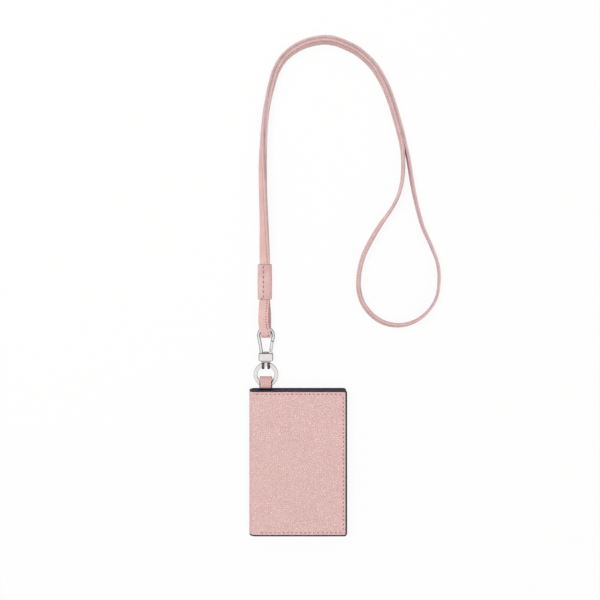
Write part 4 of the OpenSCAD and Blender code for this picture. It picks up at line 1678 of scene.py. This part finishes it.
@dataclass
class Keeper:
    """A leather sleeve sewn round both strands of the strap."""

    finishes: Finishes
    x: float = -25.3
    y0: float = 123.1
    length: float = 26.6
    half_x: float = 5.3
    half_z: float = 3.35
    leather_t: float = 1.1
    seam_x: float = -26.15
    pitch: float = 3.694
    cut_edge_and_shade: float = 0.5
    stitch_l: float = 2.1
    last_l: float = 1.7
    thread: tuple[float, float] = (0.62, 0.5)
    stitch_turn: float = 76.0

    def build(self) -> list[Object]:
        """Builds the sleeve and its stitches, and returns them."""
        return [self.sleeve(), self.stitches()]

    def sleeve(self) -> Object:
        """The sleeve, with soft corners, the row where it is sewn, and a dark rim at its top end,
        its cut edge and a painted shadow line.
        """
        count = 88
        outer = even_outline(rounded_box_outline(self.half_x, self.half_z, 2.4, 10), count)
        inner = even_outline(
            rounded_box_outline(self.half_x - self.leather_t, self.half_z - self.leather_t, 0.3, 8),
            count,
        )
        groove = 0.26 * np.exp(-(((outer[:, 0] + self.x - self.seam_x) / 0.42) ** 2))
        groove = groove * (outer[:, 1] > self.half_z - 0.4)
        rings = []
        ends = [(0.0, 0.3), (0.06, 0.16), (0.2, 0.05), (0.45, 0.0)]
        middle = [(share, 0.0) for share in np.linspace(0.06, 0.94, 16) * self.length]
        back = [(self.length - along, inset) for along, inset in reversed(ends)]
        for along, inset in ends + middle + back:
            puff = 0.14 * math.sin(math.pi * along / self.length) ** 2
            squeeze = 1 - inset / self.half_z
            ring = outer * [1 + puff / self.half_x, 1] * [1 - inset / self.half_x, squeeze]
            ring[:, 1] -= groove
            rings.append(self.ring_at(ring, along))
        for along in (self.length - 0.05, self.length * 0.5, 0.05):
            rings.append(self.ring_at(inner, along))
        points, faces, marks = loft(rings, closed=True)
        # Faces at the top end take the cut-edge colour: the cut edge, and a painted shadow line
        # where the strap goes in; the lower end stays pink.
        top = self.y0 + self.length - self.cut_edge_and_shade
        marks = [int(points[list(face), 1].min() > top) for face in faces]
        looks, part = [self.finishes.keeper, self.finishes.strap_core], (points, faces, marks)
        return make_piece("strap_keeper", [part], looks, "strap", ["keeper"])

    def ring_at(self, outline: np.ndarray, along: float) -> np.ndarray:
        """An outline in X and Z placed along the keeper, just clear of the table."""
        z = np.maximum(outline[:, 1] + self.half_z, 0.02)
        return np.column_stack([outline[:, 0] + self.x, np.full(len(outline), self.y0 + along), z])

    def stitches(self) -> Object:
        """Seven slanted stitches and one across at the end."""
        middle, top = self.y0 + self.length / 2, 2 * self.half_z - 0.22
        angle = math.radians(self.stitch_turn)
        along = np.array([math.cos(angle), math.sin(angle), 0])
        parts = []
        for i in range(-3, 4):
            spot = np.array([self.seam_x, middle + i * self.pitch, top])
            parts += sewn_stitch(spot, along, UP, self.stitch_l, *self.thread)
        last = np.array([self.seam_x - 1.5, self.y0 + 0.75, top + 0.14])
        parts += sewn_stitch(last, np.array([0.94, 0.34, 0]), UP, self.last_l, *self.thread)
        looks = [self.finishes.thread, self.finishes.slot]
        return make_piece(
            "strap_keeper_stitches", parts, looks, "strap", ["keeper_thread"]
        )


def even_outline(outline: np.ndarray, count: int) -> np.ndarray:
    """Cuts a closed outline into even steps.

    Args:
        outline: Its points.
        count: Number of steps.

    Returns:
        The even points.
    """
    ring = np.vstack([outline, outline[:1]])
    run = np.concatenate([[0], np.cumsum(np.linalg.norm(np.diff(ring, axis=0), axis=1))])
    at = np.linspace(0, run[-1], count, endpoint=False)
    return np.column_stack([np.interp(at, run, ring[:, k]) for k in range(ring.shape[1])])


@dataclass
class Strap:
    """The neck strap: two plies sewn together, running in one closed loop through the hook."""

    finishes: Finishes
    width: float = 7.5
    leather_t: float = 2.1
    keeper_x: float = -25.3
    keeper_y: tuple[float, float] = (123.1, 149.7)
    low_z: float = 2.25
    high_z: float = 4.45
    strand_mid: float = 3.35
    strand_gap: float = 2.6
    strand_lean: float = 3.5
    seam: float = 0.1
    bow_y: float = 100.145
    bight_y: float = 97.958
    sway: float = 0.9
    play: float = 0.3
    bar_d: float = 2.5
    bight_r: float = 3.05
    stitch_at: float = 2.1
    stitch_pitch: float = 1.99
    stitch_size: StitchSize = (0.95, 0.95, 0.42, 0.04)
    step: float = 1.25

    def flat_dir(self, route: Sequence[Sequence[float]], i: int) -> np.ndarray:
        """Direction of a route in the table's plane at a point."""
        a, b = route[min(i + 1, len(route) - 1)], route[max(i - 1, 0)]
        d = np.array([a[0] - b[0], a[1] - b[1]], float)
        return d / np.linalg.norm(d)

    def frame_at(self, d: np.ndarray, turn: float) -> tuple[np.ndarray, np.ndarray]:
        """Where the strap's raw edge and its outer face point, for a turn in degrees."""
        c, s = math.cos(math.radians(turn)), math.sin(math.radians(turn))
        return np.array([d[1] * c, -d[0] * c, s]), np.array([-d[1] * s, d[0] * s, c])

    def pair_spot(self, i: int, side: int) -> np.ndarray:
        """One strand of the pair at a point of its route: side 1 is the outer strand."""
        x, y, turn = PAIR_ROUTE[i]
        share = min(turn / 60, 1)
        along = self.flat_dir(PAIR_ROUTE, i)
        edge, face = self.frame_at(along, turn)
        space = self.leather_t + self.seam
        space += (self.strand_gap - space) * share
        slide = space * 0.8 * math.tan(math.radians(min(turn, 60)))
        slide *= 1 - max(min((turn - 50) / 25, 1), 0)
        rad, lean = math.radians(turn), math.radians(self.strand_lean)
        half = (space + self.leather_t) / 2 * abs(math.cos(rad))
        half += (slide + self.width) / 2 * math.sin(rad) + self.width / 8 * math.sin(lean)
        spot = np.array([x, y, max(self.strand_mid * (1 - turn / 60), half)])
        spot += side * (face * space + edge * slide) / 2
        edge, face = self.frame_at(along, turn - side * self.strand_lean * share)
        return np.concatenate([spot, edge, side * face])

    def drop_spot(self, i: int) -> np.ndarray:
        """The single strand at a point of the teardrop."""
        x, y, turn = DROP_ROUTE[i]
        edge, face = self.frame_at(-self.flat_dir(DROP_ROUTE, i), turn)
        rad = math.radians(turn)
        z = self.width / 2 * math.sin(rad) + self.leather_t / 2 * math.cos(rad)
        return np.concatenate([[x, y, z], edge, face])

    def flat_spot(self, x: float, y: float, z: float, down: int) -> np.ndarray:
        """The strap lying flat, its outer face up (1) or down (-1)."""
        return np.array([x, y, z, 1, 0, 0, 0, 0, down], float)

    def spots(self) -> np.ndarray:
        """The whole closed route, from below the keeper round the neck loop and the hook."""
        y0, y1 = self.keeper_y
        middle = (y0 + y1) / 2
        rows = [self.flat_spot(self.keeper_x, middle + 0.4, self.low_z, -1)]
        rows.append(self.flat_spot(self.keeper_x, y1, self.low_z, -1))
        rows += [self.pair_spot(i, -1) for i in range(len(PAIR_ROUTE))]
        rows += [self.drop_spot(i) for i in range(len(DROP_ROUTE))]
        rows += [self.pair_spot(i, 1) for i in reversed(range(len(PAIR_ROUTE)))]
        for y, aside in ((y1, 0), (middle, 0), (y0, self.play)):
            rows.append(self.flat_spot(self.keeper_x - aside, y, self.high_z, 1))
        between = (y0 + self.bow_y) / 2
        for y, aside in ((between, self.sway), (self.bow_y + self.bar_d, self.sway / 2)):
            rows.append(self.flat_spot(self.keeper_x - aside, y, SIZES.mid_z + self.bight_r, 1))
        for turn in range(0, 181, 30):
            c, s = math.cos(math.radians(turn)), math.sin(math.radians(turn))
            spot = [SIZES.tab_x, self.bight_y - s * self.bight_r, SIZES.mid_z + c * self.bight_r]
            rows.append(np.array([*spot, 1, 0, 0, 0, -s, c]))
        right = self.keeper_x + self.sway
        rows.append(self.flat_spot(right, between, SIZES.mid_z - self.bight_r, -1))
        rows.append(self.flat_spot(self.keeper_x, y0, self.low_z, -1))
        rows.append(self.flat_spot(self.keeper_x, middle - 0.4, self.low_z, -1))
        return np.array(rows)

    def route(self) -> tuple[np.ndarray, np.ndarray, np.ndarray]:
        """The fine middle line, kept off the table, and where its raw edge and face point."""
        fine = smooth_route(self.spots(), self.step)
        line = fine[:, :3]
        reach = np.abs(fine[:, 5]) * self.width + np.abs(fine[:, 8]) * self.leather_t
        line[:, 2] = np.maximum(line[:, 2], reach / 2 + 0.03)
        tangent = unit_rows(np.gradient(line, axis=0))
        edge = fine[:, 3:6] - tangent * np.sum(fine[:, 3:6] * tangent, axis=1)[:, None]
        edge = unit_rows(edge)
        face = np.cross(edge, tangent)
        face *= np.sign(np.sum(face * fine[:, 6:9], axis=1))[:, None]
        return line, edge, face

    def section(self) -> tuple[list[tuple[float, float]], list[int]]:
        """The strap's section and the material of each step round it.

        Returns:
            Points across the width and the thickness, and a material index for each.
        """
        half, t, at = self.width / 2, self.leather_t / 2, self.stitch_at
        outer = [
            (half - 0.16, 0.03, 2), (half - 0.02, 0.16, 0), (half, 0.5, 0), (half - 0.05, 0.8, 0),
            (half - 0.2, 0.98, 0), (half - 0.45, t, 0), (half - 1.0, t, 0), (at + 0.45, t, 0),
            (at + 0.2, t - 0.03, 0), (at, t - 0.06, 0), (at - 0.2, t - 0.03, 0),
            (at - 0.45, t, 0), (0.4, t + 0.02, 0), (-1.6, t + 0.02, 0), (0.7 - half, t, 0),
            (0.28 - half, 0.98, 0), (0.06 - half, 0.8, 0), (-half, 0.5, 0), (0.02 - half, 0.16, 0),
            (0.16 - half, 0.03, 2),
        ]
        inner = [
            (s, -q, 2 if finish else 3 if abs(s) < half - 0.4 else 1)
            for s, q, finish in reversed(outer)
        ]
        rows = outer + inner
        finishes = []
        for i, row in enumerate(rows):
            after = rows[(i + 1) % len(rows)]
            both = {row[2], after[2]}
            finishes.append(2 if both == {2} else min(both))
        return [(s, q) for s, q, _ in rows], finishes

    def build(self, riders: Sequence[Object]) -> None:
        """Args:
            riders: The pieces that sit on the strap; not used.
        """
        line, edge, face = self.route()
        outline, columns = self.section()
        part = sweep(line, edge, face, outline, column_finish=columns, cap_finish=2)
        looks = [self.finishes.strap, self.finishes.strap_back]
        looks += [self.finishes.strap_core, self.finishes.strap_inside]
        nodes = ["strap_loop", "strap_bight"]
        piece = make_piece("neck_strap", [part], looks, "strap", nodes, 50)
        sewn = self.stitches(line, edge, face)
        run = float(np.linalg.norm(np.diff(line, axis=0), axis=1).sum())
        LOG.info("neck strap: %.0f mm round its middle line", run)
        [[float(v) for v in p * MM] for p in line]

    def stitches(
        self, line: np.ndarray, edge: np.ndarray, face: np.ndarray
    ) -> Object:
        """The row of stitches that joins the two plies, on both faces.

        Args:
            line: The middle line.
            edge: Where its raw edge points.
            face: Where its outer face points.

        Returns:
            The stitches' piece.
        """
        run = np.concatenate([[0], np.cumsum(np.linalg.norm(np.diff(line, axis=0), axis=1))])
        tangent = unit_rows(np.gradient(line, axis=0))
        parts = []
        for at in np.arange(self.stitch_pitch, run[-1] - self.stitch_pitch, self.stitch_pitch):
            p, e, f, d = (
                np.array([np.interp(at, run, rows[:, k]) for k in range(3)])
                for rows in (line, edge, face, tangent)
            )
            if self.keeper_y[0] - 1 < p[1] < self.keeper_y[1] + 1 and p[0] < 0:
                continue
            if p[0] < 0 and p[1] < self.bow_y + 2 and f[2] < 0.5:
                continue
            e, f, d = (v / np.linalg.norm(v) for v in (e, f, d))
            inner_too = p[1] > self.keeper_y[1] + 30 or p[0] > 0
            for side in (1, -1) if inner_too else (1,):
                spot = p + e * self.stitch_at + f * (side * (self.leather_t / 2 - 0.08))
                parts += sewn_stitch(spot, d, f * side, *self.stitch_size)
        looks = [self.finishes.strap_thread, self.finishes.slot]
        return make_piece("neck_strap_stitches", parts, looks, "strap")


# ---------------------------------------------------------------- stage


@dataclass
class Stage:
    """Camera, floor, lamps and world."""

    look_at: tuple[float, float, float] = (1.5, 123.0, 9.6)
    field: float = 451.0
    distance: float = 450.0
    offset: float = 35.0
    floor_glow: float = 0.9

    def camera(self) -> None:
        """The photograph's camera: straight down, from a little towards the arch."""
        data = bpy.data.cameras.new("photo_camera")
        data.sensor_fit = "AUTO"
        data.angle = 2 * math.atan(self.field / 2 / self.distance)
        data.clip_start, data.clip_end = 0.02, 20.0
        camera = bpy.data.objects.new("photo_camera", data)
        data.shift_y = -self.offset / self.field
        camera.location = (Vector(self.look_at) + Vector((0, self.offset, self.distance))) * MM
        bpy.context.scene.collection.objects.link(camera)
        bpy.context.scene.camera = camera

    def clear_rays(self, tree: NodeTree) -> NodeSocket:
        """Adds the mask of the rays that see plain white: the camera's and mirrored ones."""
        rays = new_node(tree, "LightPath", {})
        seen = calculate(tree, "MAXIMUM", rays["Is Camera Ray"], rays["Is Glossy Ray"])
        return calculate(tree, "MAXIMUM", seen, rays["Is Transmission Ray"])

    def blend(
        self, tree: NodeTree, end: str, share: NodeSocket, near: NodeSocket, far: NodeSocket
    ) -> None:
        """Ends a tree with a mix of two shaders.

        Args:
            tree: The tree.
            end: Type of its output node.
            share: Share of the second shader.
            near: The first shader.
            far: The second shader.
        """
        both = new_node(tree, "MixShader", {0: share, 1: near, 2: far})
        new_node(tree, end, {"Surface": both["Shader"]})

    def floor(self) -> None:
        """A wide white floor that keeps the object's soft shadow."""
        material = bpy.data.materials.new("stage_floor")
        material.use_nodes = True
        tree = material.node_tree
        tree.nodes.clear()
        matte = new_node(tree, "BsdfDiffuse", {"Color": (0.86, 0.85, 0.85, 1)})["BSDF"]
        glow = new_node(tree, "Emission", {"Color": (1, 1, 1, 1)})["Emission"]
        share = calculate(tree, "MULTIPLY", self.clear_rays(tree), self.floor_glow)
        self.blend(tree, "OutputMaterial", share, matte, glow)
        mesh = bpy.data.meshes.new("stage_floor")
        size = 6.0
        mesh.from_pydata(
            [(-size, -size, 0), (size, -size, 0), (size, size, 0), (-size, size, 0)],
            [],
            [(0, 1, 2, 3)],
        )
        mesh.materials.append(material)
        floor = bpy.data.objects.new("stage_floor", mesh)
        floor.location.z = -0.00006
        bpy.context.scene.collection.objects.link(floor)

    def lamps(self) -> None:
        """One broad soft lamp at the upper left and a weaker one opposite."""
        for name, spot, size, power in (
            ("key", (-0.55, 0.65, 1.3), 0.9, 11.0),
            ("fill", (0.9, -0.3, 1.2), 1.2, 3.0),
        ):
            data = bpy.data.lights.new(f"lamp_{name}", "AREA")
            data.shape, data.size, data.energy = "DISK", size, power
            lamp = bpy.data.objects.new(f"lamp_{name}", data)
            lamp.location = spot
            lamp.visible_glossy = False
            aim = Vector((0.02, 0.13, 0)) - Vector(spot)
            lamp.rotation_mode = "QUATERNION"
            lamp.rotation_quaternion = aim.to_track_quat("-Z", "Y")
            bpy.context.scene.collection.objects.link(lamp)

    def world(self) -> None:
        """Pale sky, darker towards the horizon, with a white backdrop for the camera."""
        world = bpy.data.worlds.new("stage_world")
        bpy.context.scene.world = world
        world.use_nodes = True
        tree = world.node_tree
        tree.nodes.clear()
        ray = new_node(tree, "TexCoord", {})["Generated"]
        rise = new_node(tree, "SeparateXYZ", {"Vector": ray})["Z"]
        limits = {"From Min": 0.35, "From Max": 0.9, "To Min": 0.58, "To Max": 0.68}
        light = remap(tree, rise, limits)
        sky = new_node(tree, "Background", {"Color": (1.0, 0.99, 0.98, 1), "Strength": light})
        white = new_node(tree, "Background", {"Color": (1, 1, 1, 1)})["Background"]
        self.blend(tree, "OutputWorld", self.clear_rays(tree), sky["Background"], white)

    def build(self) -> None:
        """Builds the stage, apart from the camera."""
        self.floor()
        self.lamps()
        self.world()
        bpy.context.scene.view_settings.view_transform = "Standard"


# ---------------------------------------------------------------- the whole wallet


def main() -> None:
    """Builds the wallet's looks, camera and cord first."""
    logging.basicConfig(level=logging.INFO, format="%(name)s: %(message)s")
    stage = Stage()
    stage.camera()
    finishes = Finishes()
    riders = Keeper(finishes).build()
    Strap(finishes).build(riders)
    for side in Side:
        Cover(side, finishes).build()
    Inside(finishes).build()
    Tab(finishes).build()
    SplitRing(finishes).build()
    SwivelEye(finishes).build()
    SnapHook(finishes).build()
    stage.build()


if __name__ == "__main__":
    main()
